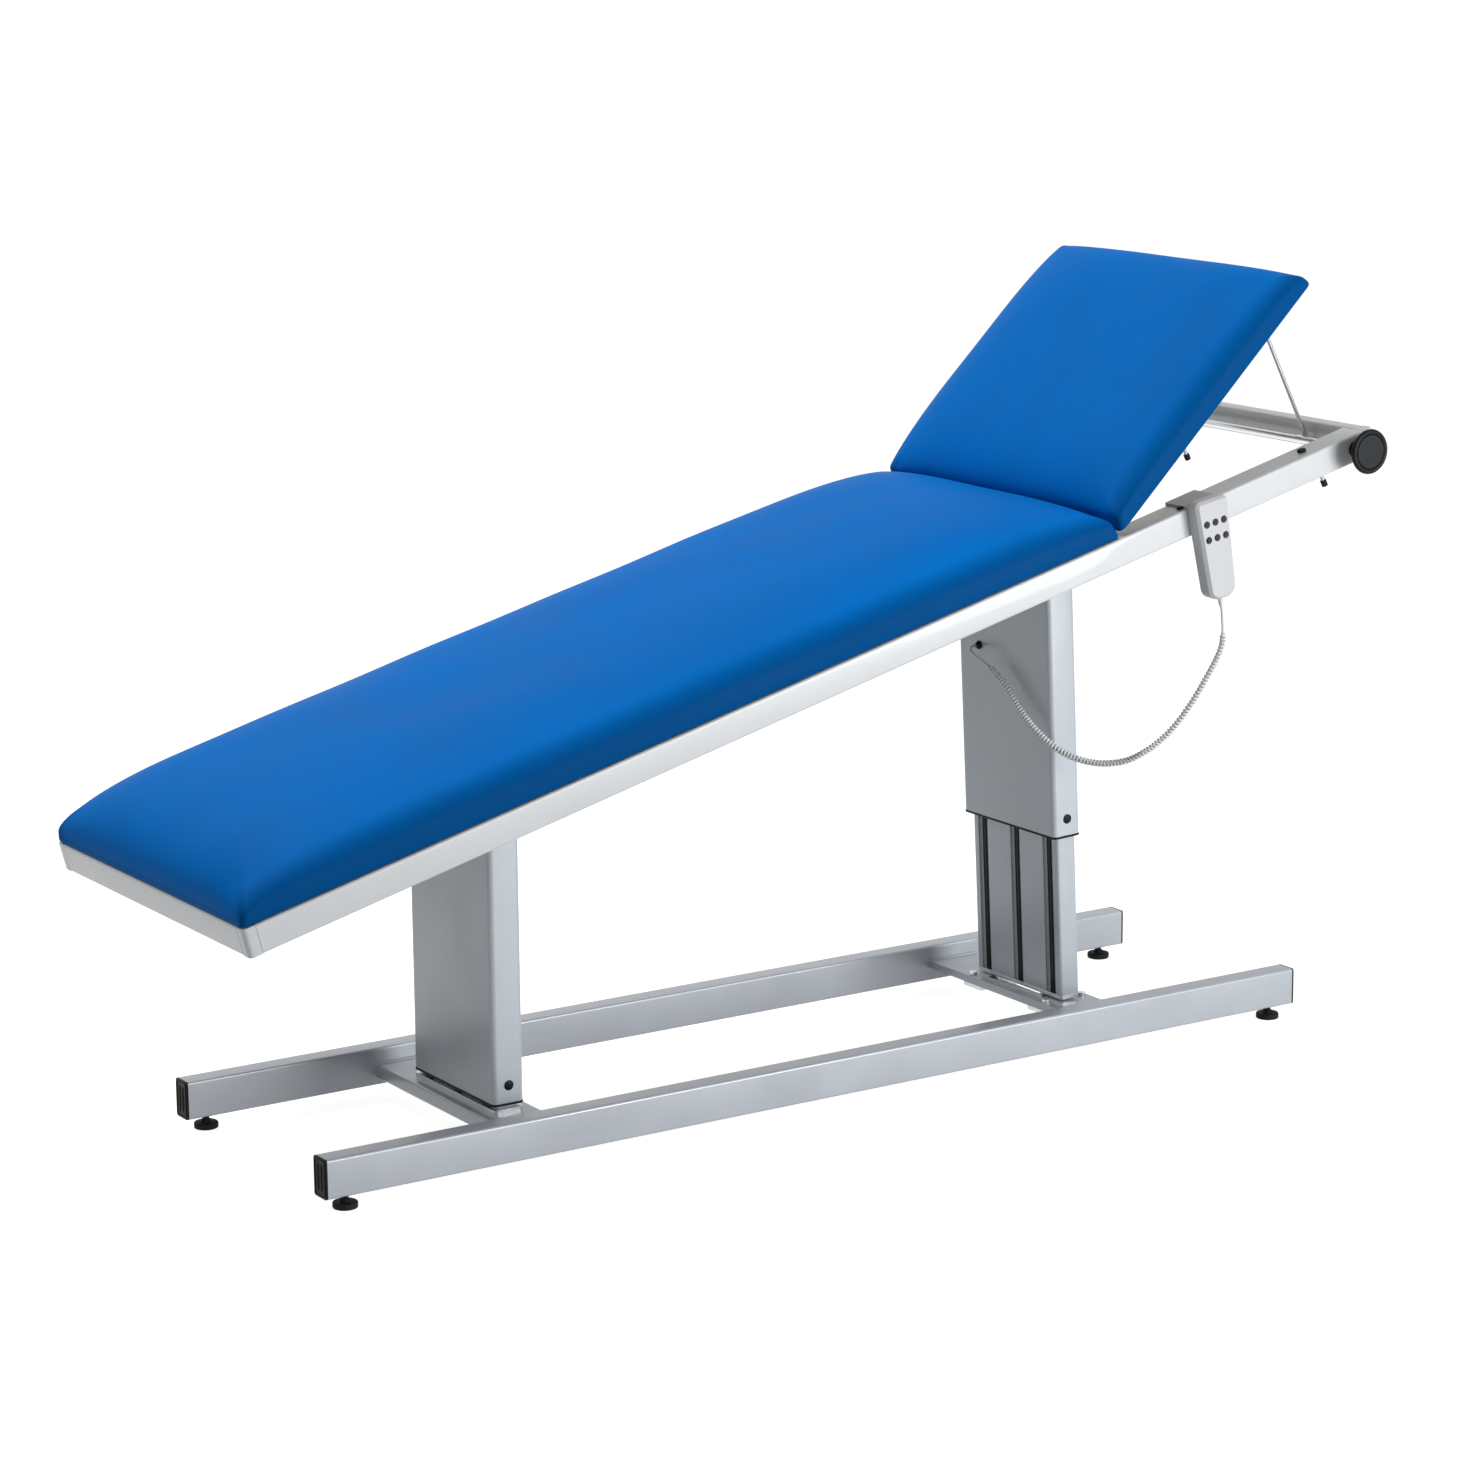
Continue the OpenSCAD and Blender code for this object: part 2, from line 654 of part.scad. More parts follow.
// Head column, leaning between its pivots
module head_inner_column() color([0.72, 0.75, 0.78]) on_head_column()
    translate([lean_play, 0, base_pivot_rise + cap_t]) inner_profile();
module head_gearmotor() color([0.3, 0.31, 0.33]) on_head_column()
    translate([lean_play, 0, base_pivot_rise + cap_t]) gearmotor();
module head_foot_plate() color([0.75, 0.77, 0.8]) on_head_column() {
    translate([lean_play, 0, base_pivot_rise]) linear_extrude(cap_t)
        rounded(inner_d, inner_w, inner_r);
    for (side = [-1, 1]) translate([0, side * (ear_y - ear_t / 2), 0]) along_y(ear_t) difference() {
        union() {
            circle(ear_r);
            translate([-ear_r, 0]) square([2 * ear_r, base_pivot_rise]);
        }
        circle(d = pin_d + 2 * run_fit);
    }
}
module head_outer_column() color([0.72, 0.75, 0.78]) on_head_column()
    translate([0, 0, head_outer_z]) difference() {
        outer_profile();
        translate([-outer_d / 2, gland_y, gland_up]) rotate([0, 90, 0])
            cylinder(d = gland_neck + 2 * seat_fit, h = 2 * (outer_wall + over), center = true);
    }
module head_collar() color([0.1, 0.1, 0.11]) on_head_column()
    translate([0, 0, head_outer_z]) collar(false);
module head_cover_plugs() color([0.05, 0.05, 0.06]) on_head_column()
    translate([0, 0, head_outer_z]) cover_plugs();
module head_column_cap() color([0.75, 0.77, 0.8]) on_head_column()
    translate([0, 0, head_outer_z + outer_l]) column_cap();
module head_push_tube() color([0.8, 0.8, 0.82]) on_head_column()
    translate([0, 0, head_outer_z + outer_l]) push_tube();
module cord_gland() color([0.12, 0.12, 0.13]) on_head_column()
    translate([-outer_d / 2, gland_y, head_outer_z + gland_up]) rotate([0, -90, 0]) {
        translate([0, 0, -outer_wall]) cylinder(d = gland_neck, h = outer_wall);
        cylinder(d = gland_d, h = 3, $fn = 6);
        translate([0, 0, 3]) cylinder(d1 = gland_d - 2, d2 = wire_d + 2, h = gland_l - 3);
    }

// Table frame
module side_rails() color([0.93, 0.94, 0.95]) on_frame() difference() {
    for (side = [-1, 1]) translate([end_w, side * (half_w - side_w / 2), -side_h / 2])
        along_x(frame_l - 2 * end_w) ring(side_w, side_h, side_r, side_wall);
    translate([clamp_s, 0, -clamp_depth]) rod_y(bush_d + 2 * seat_fit, frame_w + 2 * over);
}
module end_rails() color([0.93, 0.94, 0.95]) on_frame() {
    rail_l = frame_w - 2 * end_w;
    for (s = [end_w / 2, frame_l - end_w / 2]) translate([s, 0, -side_h / 2])
        rotate([-90, 0, 0]) linear_extrude(rail_l, center = true)
            ring(end_w, side_h, side_r, side_wall);
    for (side = [-1, 1], cheek = [-1, 1])
        translate([end_in_s - cheek_w, side * stay_y + cheek * (stay_d / 2 + side_fit + cheek_t / 2),
            -side_h]) translate([0, -cheek_t / 2, 0]) cube([cheek_w, cheek_t, cheek_h]);
}
module frame_corners() color([0.96, 0.96, 0.97]) on_frame()
    for (s = [0, 1], side = [-1, 1])
        translate([s * frame_l, side * half_w, -side_h]) mirror([s, 0, 0])
            mirror([0, side > 0 ? 1 : 0, 0]) linear_extrude(side_h) {
                translate([corner_r, 0]) square([end_w - corner_r, end_w]);
                translate([0, corner_r]) square([end_w, end_w - corner_r]);
                translate([corner_r, corner_r]) circle(corner_r);
            }
// Four crossbars carry the lugs for the column pivots; three slats carry the main board
module crossbars() color([0.88, 0.89, 0.9]) on_frame() {
    for (s = [pivot_s, head_pivot_s]) difference() {
        union() {
            for (side = [-1, 1]) translate([s + side * (bar_gap + bar_w / 2), 0, bar_w / 2 - side_h])
                rotate([-90, 0, 0]) linear_extrude(2 * inside_y, center = true)
                    ring(bar_w, bar_w, bar_r, bar_wall);
            for (side = [-1, 1])
                translate([s, side * (ear_y + side_fit + ear_t / 2), bar_w / 2 - side_h])
                    cube([2 * bar_gap, ear_t, bar_w], center = true);
        }
        translate([s, 0, -pivot_depth]) rod_y(pin_d + 2 * seat_fit, 3 * ear_y);
    }
    for (s = slat_s) translate([s, 0, -slat_h / 2])
        rotate([-90, 0, 0]) linear_extrude(2 * inside_y, center = true)
            ring(bar_w, slat_h, bar_r, bar_wall);
}
module frame_pivot_pins() color([0.6, 0.61, 0.63]) on_frame()
    for (s = [pivot_s, head_pivot_s]) translate([s, 0, -pivot_depth]) pivot_pin();

// Cushion: a crowned top over drawn-in sides, on a grid that is finer near the edges
module cushion(l, w, crown, lean_start, lean_end, ends, nx, ny) {
    mid_h = edge_h * 0.45;
    function grid(i, n) = (1 - cos(180 * i / n)) / 2;
    function place(i, j, start, end, side) = [start + (l - start - end) * grid(i, nx),
        (w / 2 - side) * (2 * grid(j, ny) - 1)];
    function dome(i, j) = let (a = 2 * grid(i, nx) - 1, b = 2 * grid(j, ny) - 1)
        sqrt(max(0, 1 - pow(abs(b), 4)))
        * sqrt(max(0, 1 - pow(abs(a), ends[a < 0 ? 0 : 1])));
    rim = concat([for (i = [0:nx - 1]) [i, 0]], [for (j = [0:ny - 1]) [nx, j]],
        [for (i = [nx:-1:1]) [i, ny]], [for (j = [ny:-1:1]) [0, j]]);
    n = len(rim);
    top = [for (i = [0:nx], j = [0:ny]) let (p = place(i, j, lean_start, lean_end, 2))
        [p.x, p.y, edge_h + crown * dome(i, j)]];
    mid = [for (r = rim) let (p = place(r.x, r.y, lean_start * 0.45, lean_end * 0.3, 0))
        [p.x, p.y, mid_h]];
    low = [for (r = rim) let (p = place(r.x, r.y, 0, draw_in, draw_in)) [p.x, p.y, 0]];
    m = len(top);
    faces = concat(
        [for (i = [0:nx - 1], j = [0:ny - 1]) let (k = i * (ny + 1) + j) [k, k + 1, k + ny + 2]],
        [for (i = [0:nx - 1], j = [0:ny - 1]) let (k = i * (ny + 1) + j)
            [k, k + ny + 2, k + ny + 1]],
        [for (q = [0:n - 1]) let (e = (q + 1) % n, u = rim[q].x * (ny + 1) + rim[q].y)
            [u, rim[e].x * (ny + 1) + rim[e].y, m + e]],
        [for (q = [0:n - 1]) let (e = (q + 1) % n, u = rim[q].x * (ny + 1) + rim[q].y)
            [u, m + e, m + q]],
        [for (q = [0:n - 1]) let (e = (q + 1) % n) [m + q, m + e, m + n + e]],
        [for (q = [0:n - 1]) let (e = (q + 1) % n) [m + q, m + n + e, m + n + q]],
        [for (q = [0:n - 1]) let (e = (q + 1) % n) [m + 2 * n, m + n + q, m + n + e]]);
    polyhedron(points = concat(top, mid, low, [[l / 2, 0, 0]]), faces = faces, convexity = 4);
}
module board(l) translate([board_in, board_in - half_w, 0])
    cube([l - 2 * board_in, frame_w - 2 * board_in, board_t]);
module board_pocket(l) translate([board_in - board_fit, board_in - board_fit - half_w, -over])
    cube([l - 2 * (board_in - board_fit), frame_w - 2 * (board_in - board_fit),
        board_t + over]);
module main_board() color([0.35, 0.3, 0.25]) on_frame() board(main_l);
module main_cushion() color([0.09, 0.42, 0.74]) on_frame() difference() {
    cushion(main_l, frame_w, main_crown, cushion_lean, hinge_lean, main_round,
        crown_steps, crown_rows);
    board_pocket(main_l);
}
module head_board() color([0.35, 0.3, 0.25]) on_head()
    translate([head_start, 0, head_under]) board(head_l - head_start);
module head_cushion() color([0.09, 0.42, 0.74]) on_head()
    translate([head_start, 0, head_under]) difference() {
        cushion(head_l - head_start, frame_w, head_crown, hinge_lean, cushion_lean, head_round,
            head_steps, crown_rows);
        board_pocket(head_l - head_start);
    }

// Two hinges under the boards: outer knuckles on the fixed leaf, the middle one on the other
module knuckle(l) tube_y(knuckle_d, hinge_pin_d + 2 * run_fit, l);
module fixed_hinge_leaves() color([0.7, 0.7, 0.72]) on_frame() for (side = [-1, 1])
    translate([hinge_s, side * hinge_y, -hinge_drop]) {
        third = hinge_l / 3;
        for (end = [-1, 1]) translate([0, end * third, 0]) difference() {
            union() {
                rod_y(knuckle_d, third - side_fit);
                translate([-knuckle_d / 2, 0, knuckle_d / 4])
                    cube([knuckle_d, third - side_fit, knuckle_d / 2], center = true);
            }
            rod_y(hinge_pin_d + 2 * seat_fit, third);
        }
        rod_y(hinge_pin_d, hinge_l);
        translate([-knuckle_d / 2 - leaf_w, -hinge_l / 2, hinge_drop - leaf_t])
            cube([leaf_w, hinge_l, leaf_t]);
    }
module moving_hinge_leaves() color([0.7, 0.7, 0.72]) on_head() for (side = [-1, 1])
    translate([0, side * hinge_y, 0]) {
        third = hinge_l / 3;
        difference() {
            union() {
                rod_y(knuckle_d, third - side_fit);
                translate([leaf_at - 2, -(third - side_fit) / 2, 0])
                    cube([5, third - side_fit, head_under - leaf_t / 2]);
            }
            rod_y(hinge_pin_d + 2 * run_fit, third);
        }
        translate([leaf_at, -hinge_l / 2, head_under - leaf_t]) cube([leaf_w, hinge_l, leaf_t]);
    }

// Lugs under the head board and the stays that hang on them
module stay_lugs() color([0.7, 0.7, 0.72]) on_head() for (side = [-1, 1])
    translate([stay_r, side * stay_y, -stay_drop]) {
        for (cheek = [-1, 1])
            translate([0, cheek * (eye_w / 2 + side_fit + cheek_t / 2), 0])
                along_y(cheek_t) difference() {
                    union() {
                        circle(d = eye_d);
                        translate([-eye_d / 2, 0])
                            square([eye_d, stay_drop + head_under - cheek_t / 2]);
                    }
                    circle(d = stay_pin_d + 2 * seat_fit);
                }
        lug_w = eye_w + 2 * (side_fit + cheek_t);
        foot_l = 16;
        translate([-foot_l, -lug_w / 2, stay_drop + head_under - cheek_t])
            cube([foot_l + eye_d / 2, lug_w, cheek_t]);
        rod_y(stay_pin_d, lug_w);
    }
module stay_rods() color([0.62, 0.65, 0.67]) for (side = [-1, 1]) on_stay(side) difference() {
    union() {
        rod_y(eye_d, eye_w);
        translate([0, 0, cap_floor - stay_l - cap_d])
            cylinder(d = stay_d, h = stay_l + cap_d - cap_floor);
    }
    rod_y(stay_pin_d + 2 * run_fit, eye_w + 2 * over);
}
module stay_caps() color([0.05, 0.05, 0.06]) for (side = [-1, 1]) on_stay(side)
    translate([0, 0, -stay_l - cap_d]) difference() {
        cylinder(d = cap_d, h = cap_d);
        translate([0, 0, cap_floor]) cylinder(d = stay_d + 2 * seat_fit, h = cap_d);
    }

// Clamp: a cross rod with a cam beside each stay and a hand wheel at each end
module clamp_rod() color([0.7, 0.71, 0.73]) on_clamp() {
    rod_y(clamp_d, frame_w + 2 * wheel_out - 2 * wheel_t);
    for (side = [-1, 1]) translate([cam_off, side * stay_y, 0]) rod_y(cam_d, cam_w);
}
module clamp_bushes() color([0.15, 0.15, 0.16]) on_clamp() for (side = [-1, 1])
    translate([0, side * (half_w - side_w / 2), 0])
        tube_y(bush_d, clamp_d + 2 * run_fit, side_w);
// A flat wheel with a rolled rim, a sunk face and a hub that stands against the rail
module hand_wheels() color([0.03, 0.03, 0.035]) on_clamp() for (side = [-1, 1])
    translate([0, side * (half_w + wheel_out), 0]) rotate([90 * side, 0, 0]) rotate_extrude() {
        rim = wheel_t / 2;
        translate([wheel_d / 2 - rim, rim]) circle(rim);
        translate([clamp_d / 2 + seat_fit, wheel_sunk])
            square([wheel_d / 2 - rim - clamp_d / 2, wheel_t - 5]);
        translate([clamp_d / 2 + seat_fit, wheel_sunk])
            square([(hub_d - clamp_d) / 2, wheel_out - wheel_sunk - side_fit]);
    }
module wheel_faces() color([0.13, 0.14, 0.15]) on_clamp() for (side = [-1, 1])
    translate([0, side * (half_w + wheel_out), 0]) rotate([90 * side, 0, 0])
        translate([0, 0, 1]) cylinder(d = wheel_d - 2 * wheel_t, h = wheel_sunk - 1);

// Rubber pads: rests for the head section on the rails, and the pad beside the handset's hook
module rubber_pads() color([0.1, 0.1, 0.1]) on_frame() {
    pad_d = 14;
    pad_back = 125;
    hook_pad = 8;
    for (side = [-1, 1]) translate([frame_l - pad_back, side * (half_w - side_w / 2), 0])
        cylinder(d = pad_d, h = head_lift - pad_play);
    translate([handset_s - hook_w / 2 - hook_pad - side_fit, hook_pad - half_w, 0])
        cube([hook_pad, hook_pad, head_lift - pad_play]);
}

// Control unit under the main board, with the gland for the mains cord
module control_unit() color([0.8, 0.81, 0.82]) on_frame()
    translate([unit_s, unit_y, -unit_h]) {
        flange_t = 4;
        flange_out = 8;
        inlet_d = 16;
        inlet_l = 12;
        translate([unit_l / 2, unit_w / 2, 0]) linear_extrude(unit_h - flange_t)
            rounded(unit_l - 2 * flange_out, unit_w, 6);
        translate([0, 0, unit_h - flange_t]) cube([unit_l, unit_w, flange_t]);
        translate([flange_out, unit_w / 2, unit_h / 2]) rotate([0, -90, 0]) difference() {
            cylinder(d = inlet_d, h = inlet_l);
            translate([0, 0, 2]) cylinder(d = inlet_d / 2, h = inlet_l);
        }
    }

// Handset: two halves hung on the near rail by a hook over its top
module handset_outline(inset) hull() {
    r = 9;
    low_r = 19;
    for (side = [-1, 1]) {
        translate([side * (handset_w / 2 - r), handset_up - r]) circle(r - inset, $fn = 32);
        translate([side * (handset_low_w / 2 - low_r), low_r - handset_l])
            circle(low_r - inset, $fn = 32);
    }
}
module handset_back() color([0.86, 0.87, 0.88]) {
    on_handset() translate([0, (handset_y + handset_mid_y) / 2, 0])
        along_y(handset_back_t) handset_outline(0.5);
    on_frame() translate([handset_s - hook_w / 2, 0, 0]) {
        translate([0, handset_y, pad_play])
            cube([hook_w, side_w + handset_gap + hook_t + hook_play, hook_t]);
        translate([0, side_w - half_w + hook_play, -hook_drop]) cube([hook_w, hook_t, hook_drop + 1]);
    }
}
module handset_front() color([0.88, 0.89, 0.9]) on_handset() difference() {
    hull() {
        translate([0, handset_mid_y - handset_front_t * 0.3, 0])
            along_y(handset_front_t * 0.6) handset_outline(0);
        translate([0, handset_face_y + 0.5, 0]) along_y(1) handset_outline(4);
    }
    for (c = [-1:1], r = [0, 1]) button_place(c, r)
        cylinder(d = button_d + 2 * run_fit, h = button_depth + over);
}
// Each button's seat, with Z out of the handset's face
module button_place(c, r) translate([c * button_dx, handset_face_y + button_depth,
    -button_top - r * button_dz]) rotate([90, 0, 0]) children();
module button(c, r) color([0.04, 0.04, 0.05]) on_handset() button_place(c, r)
    translate([0, 0, button_travel + button_floor]) {
        bevel = 0.6;
        cylinder(d = button_d, h = button_rise + button_out - bevel);
        translate([0, 0, button_rise + button_out - bevel])
            cylinder(d1 = button_d, d2 = button_d - 2 * bevel, h = bevel);
    }
module cord_sleeve() color([0.55, 0.56, 0.58]) on_handset()
    translate([0, handset_mid_y, -handset_l - sleeve_l])
        cylinder(d1 = wire_d + 2, d2 = wire_d + 5, h = sleeve_l);

// Curly cord from the handset's sleeve to the gland on the head column
cord_start = handset_point(0, handset_mid_y, -handset_l - sleeve_l);
cord_end = column_point(-outer_d / 2 - gland_l, gland_y, head_outer_z + gland_up);
cord_route = [[668, -316, 668], [664, -320, 644], [652, -320, 620], [634, -318, 592],
    [614, -311, 558], [594, -300, 526], [577, -284, 500], [560, -262, 478], [545, -235, 462],
    [524, -200, 455], [503, -165, 460], [484, -134, 476], [475, -100, 497], [473, -64, 522],
    [472, -34, 550], [469, 0, 573], [464, 30, 588], [461, 50, 597]];
lead_out = 8;
down = (handset_point(0, 0, -1) - handset_point(0, 0, 0));
into = (column_point(1, 0, 0) - column_point(0, 0, 0));
knots = concat([cord_start, cord_start + lead_out * down], cord_route,
    [cord_end - lead_out * into, cord_end]);
function between(a, b, c, d, u) = 0.5 * (2 * b + (c - a) * u
    + (2 * a - 5 * b + 4 * c - d) * u * u + (3 * b - a - 3 * c + d) * u * u * u);
path = concat([knots[0]],
    [for (i = [1:len(knots) - 3], k = [0:7])
        between(knots[i - 1], knots[i], knots[i + 1], knots[i + 2], k / 8)],
    [knots[len(knots) - 2], knots[len(knots) - 1]]);
path_at = [for (i = 0, s = 0; i < len(path);
    s = s + (i + 1 < len(path) ? norm(path[i + 1] - path[i]) : 0), i = i + 1) s];
path_l = path_at[len(path) - 1];
track = [for (c = [0:2]) [for (i = [0:len(path) - 1]) [path_at[i], path[i][c]]]];
function on_path(s) = [for (c = [0:2]) lookup(s, track[c])];
coil_from = 58;
coil_to = path_l - 76;
pitch = (coil_to - coil_from) / curls;
// The cord's own plane is the upright one through its two ends
plane = let (d = cord_end - cord_start) [d.y, -d.x, 0] / norm([d.x, d.y]);
function unit(v) = v / norm(v);
function along(s) = s < lead_out ? down : s > path_l - lead_out ? into
    : unit(on_path(s + 2) - on_path(s - 2));
function turn(s) = 360 * (min(max(s, coil_from), coil_to) - coil_from) / pitch;
function swell(s) = curl_r * max(0, min(1, (s - coil_from) / pitch, (coil_to - s) / pitch));
function outward(s) = let (t = along(s), n = unit(plane - (plane * t) * t))
    cos(turn(s)) * n + sin(turn(s)) * cross(t, n);
function wire(s) = on_path(s) + swell(s) * outward(s);
sides = 6;
rings_a_curl = 8;
stops = concat([0, lead_out * 0.8], [for (k = [1:4]) lead_out + (coil_from - lead_out) * k / 5],
    [for (k = [0:curls * rings_a_curl]) coil_from + pitch * k / rings_a_curl],
    [for (k = [1:6]) coil_to + (path_l - lead_out - coil_to) * k / 7],
    [path_l - lead_out * 0.8, path_l]);
middles = [for (s = stops) wire(s)];
// Least gap between one curl and the next ones, printed as a check
self_gap = min([for (i = [0:len(middles) - 15], k = [6:14])
    norm(middles[i + k] - middles[i])]) - wire_d;
function wire_way(i) = i == 0 ? down : i == len(stops) - 1 ? into
    : unit(middles[i + 1] - middles[i - 1]);
module handset_cord() {
    echo(cord_length = path_l, pitch = pitch, least_gap_to_itself = self_gap);
    n = len(stops);
    rings = [for (i = [0:n - 1]) let (t = wire_way(i), e0 = outward(stops[i]),
        e = unit(e0 - (e0 * t) * t), f = cross(t, e))
        for (k = [0:sides - 1]) middles[i]
            + wire_d / 2 * (cos(360 * k / sides) * e + sin(360 * k / sides) * f)];
    faces = concat(
        [for (i = [0:n - 2], k = [0:sides - 1]) let (q = (k + 1) % sides)
            [i * sides + k, (i + 1) * sides + q, i * sides + q]],
        [for (i = [0:n - 2], k = [0:sides - 1]) let (q = (k + 1) % sides)
            [i * sides + k, (i + 1) * sides + k, (i + 1) * sides + q]],
        [for (k = [1:sides - 2]) [0, k, k + 1]],
        [for (k = [1:sides - 2]) [(n - 1) * sides, (n - 1) * sides + k + 1, (n - 1) * sides + k]]);
    color([0.78, 0.79, 0.8]) polyhedron(points = rings, faces = faces, convexity = 10);
}

base_rails();
base_rail_plugs();
foot_inserts();
foot_cross_member();
head_cross_member();
foot_base_plate();
base_screws();
foot_inner_column();
foot_gearmotor();
base_pivot_brackets();
base_pivot_pin();
levelling_foot(-1, -1);  // levelling_foot_1
levelling_foot(-1, 1);  // levelling_foot_2
levelling_foot(1, -1);  // levelling_foot_3
levelling_foot(1, 1);  // levelling_foot_4
foot_outer_column();
foot_collar();
foot_cover_plugs();
foot_column_cap();
foot_push_tube();
side_rails();
end_rails();
frame_corners();
crossbars();
frame_pivot_pins();
main_board();
main_cushion();
fixed_hinge_leaves();
rubber_pads();
clamp_bushes();
control_unit();
handset_back();
handset_front();
cord_sleeve();
handset_cord();
button(-1, 0);  // button_all_up
button(0, 0);  // button_head_up
button(1, 0);  // button_foot_up
button(-1, 1);  // button_all_down
button(0, 1);  // button_head_down
button(1, 1);  // button_foot_down
head_board();
head_cushion();
moving_hinge_leaves();
stay_lugs();
stay_rods();
stay_caps();
clamp_rod();
hand_wheels();
wheel_faces();
head_outer_column();
head_collar();
head_cover_plugs();
head_column_cap();
head_push_tube();
cord_gland();
head_inner_column();
head_foot_plate();
head_gearmotor();
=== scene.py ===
"""Looks of a height-adjustable examination table on two lifting columns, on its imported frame.
X runs from the foot end to the head end, Y across the table, Z up from the floor, in metres."""
import json
import math

import bmesh
import bpy
import numpy as np
from mathutils import Euler, Matrix, Vector


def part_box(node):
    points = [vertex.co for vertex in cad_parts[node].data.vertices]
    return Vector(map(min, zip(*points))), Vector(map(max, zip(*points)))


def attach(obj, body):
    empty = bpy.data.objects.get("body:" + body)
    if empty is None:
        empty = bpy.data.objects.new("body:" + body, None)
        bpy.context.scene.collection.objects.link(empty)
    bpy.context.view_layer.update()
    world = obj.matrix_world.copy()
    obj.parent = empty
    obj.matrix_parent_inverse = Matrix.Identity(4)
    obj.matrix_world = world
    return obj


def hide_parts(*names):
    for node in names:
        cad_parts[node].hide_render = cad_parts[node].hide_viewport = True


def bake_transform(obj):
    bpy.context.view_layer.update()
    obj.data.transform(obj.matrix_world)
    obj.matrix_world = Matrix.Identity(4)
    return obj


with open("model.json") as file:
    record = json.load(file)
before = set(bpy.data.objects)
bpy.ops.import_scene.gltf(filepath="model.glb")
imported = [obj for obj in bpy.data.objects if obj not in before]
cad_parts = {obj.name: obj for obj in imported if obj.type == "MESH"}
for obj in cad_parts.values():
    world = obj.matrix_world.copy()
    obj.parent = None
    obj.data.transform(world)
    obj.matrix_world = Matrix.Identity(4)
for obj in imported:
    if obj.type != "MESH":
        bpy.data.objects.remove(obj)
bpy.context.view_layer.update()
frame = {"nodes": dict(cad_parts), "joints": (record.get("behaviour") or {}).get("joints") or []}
nodes = frame["nodes"]
joints = {joint["name"]: joint for joint in frame["joints"]}

# Camera
# A long lens 1.9 m above the floor looks down on the table from its foot end and its near side,
# as the photograph does.
lens_mm, sensor_mm = 102.0, 36.0
camera_place = (-3.3232, -5.1380, 1.8714)
camera_azimuth, camera_down, camera_roll = map(math.radians, (-32.8, 12.368, -0.484))

camera = bpy.data.objects.new("camera", bpy.data.cameras.new("camera"))
camera.data.lens = lens_mm
camera.data.sensor_width = sensor_mm
camera.data.clip_end = 60
turn = Euler((math.pi / 2 - camera_down, 0, camera_azimuth)).to_matrix()
camera.matrix_world = Matrix.Translation(camera_place) @ (
    turn @ Matrix.Rotation(camera_roll, 3, "Z")).to_4x4()
bpy.context.scene.collection.objects.link(camera)
bpy.context.scene.camera = camera

# Curly cord
# A thin grey cable with a wound middle part hangs from the handset to the head column's gland,
# between the table frame and the column. The route's points are those of the solid, and the
# curls turn round them at a steady pitch.
wire_d, wire_sides = 0.0046, 12
curl_r, curls, rings_a_curl, ramp_curls = 0.0033, 102, 16, 2
coil_from, coil_end_lead, lead_out, lead_stops = 0.038, 0.070, 0.008, 12
cord_route = [(0.668, -0.316, 0.668), (0.664, -0.320, 0.644), (0.652, -0.320, 0.620),
              (0.634, -0.318, 0.592), (0.614, -0.311, 0.558), (0.594, -0.300, 0.526),
              (0.577, -0.284, 0.500), (0.560, -0.262, 0.478), (0.545, -0.235, 0.462),
              (0.524, -0.200, 0.455), (0.503, -0.165, 0.460), (0.484, -0.134, 0.476),
              (0.475, -0.100, 0.497), (0.473, -0.064, 0.522), (0.472, -0.034, 0.550),
              (0.469, 0.000, 0.573), (0.464, 0.030, 0.588), (0.461, 0.050, 0.597)]

# The cord's upper end is on the handset, which hangs on the near rail of the table frame. The
# frame turns about the foot column's upper pivot. The other end is in the gland of the head
# column's outer profile, and that column leans on its lower pivot.
table_tilt, frame_w = math.radians(14.53), 0.600
pivot_s, pivot_depth = 0.511, 0.030
handset_s, handset_swing = 1.6745, math.radians(4)
handset_l, handset_d, handset_gap, sleeve_l = 0.148, 0.025, 0.001, 0.014
gland_y, gland_up, gland_l = 0.063, 0.279, 0.007
outer_d, outer_l, top_drop = 0.051, 0.430, 0.043

foot_pivot = np.array(joints["table_tilt"]["pos_m"])
base_pivot = np.array(joints["head_column_foot_lean"]["pos_m"])
head_pivot = np.array(joints["head_column_lean"]["pos_m"])
frame_along = np.array([math.cos(table_tilt), 0, math.sin(table_tilt)])
frame_across = np.array([0.0, 1.0, 0.0])
frame_up = np.array([-math.sin(table_tilt), 0, math.cos(table_tilt)])
frame_origin = foot_pivot - pivot_s * frame_along + pivot_depth * frame_up
pivots_apart = np.linalg.norm(head_pivot - base_pivot)
column_up = (head_pivot - base_pivot) / pivots_apart
column_along = np.array([column_up[2], 0, -column_up[0]])
outer_foot = pivots_apart - top_drop - outer_l

handset_right = math.cos(handset_swing) * frame_along - math.sin(handset_swing) * frame_up
handset_top = math.sin(handset_swing) * frame_along + math.cos(handset_swing) * frame_up
handset_middle = frame_origin + handset_s * frame_along
cord_start = (handset_middle + (-frame_w / 2 - handset_gap - handset_d / 2) * frame_across
              - (handset_l + sleeve_l) * handset_top)
cord_end = (base_pivot - (outer_d / 2 + gland_l) * column_along
            + gland_y * frame_across + (outer_foot + gland_up) * column_up)
knots = np.array([cord_start, cord_start - lead_out * handset_top, *cord_route,
                  cord_end - lead_out * column_along, cord_end])


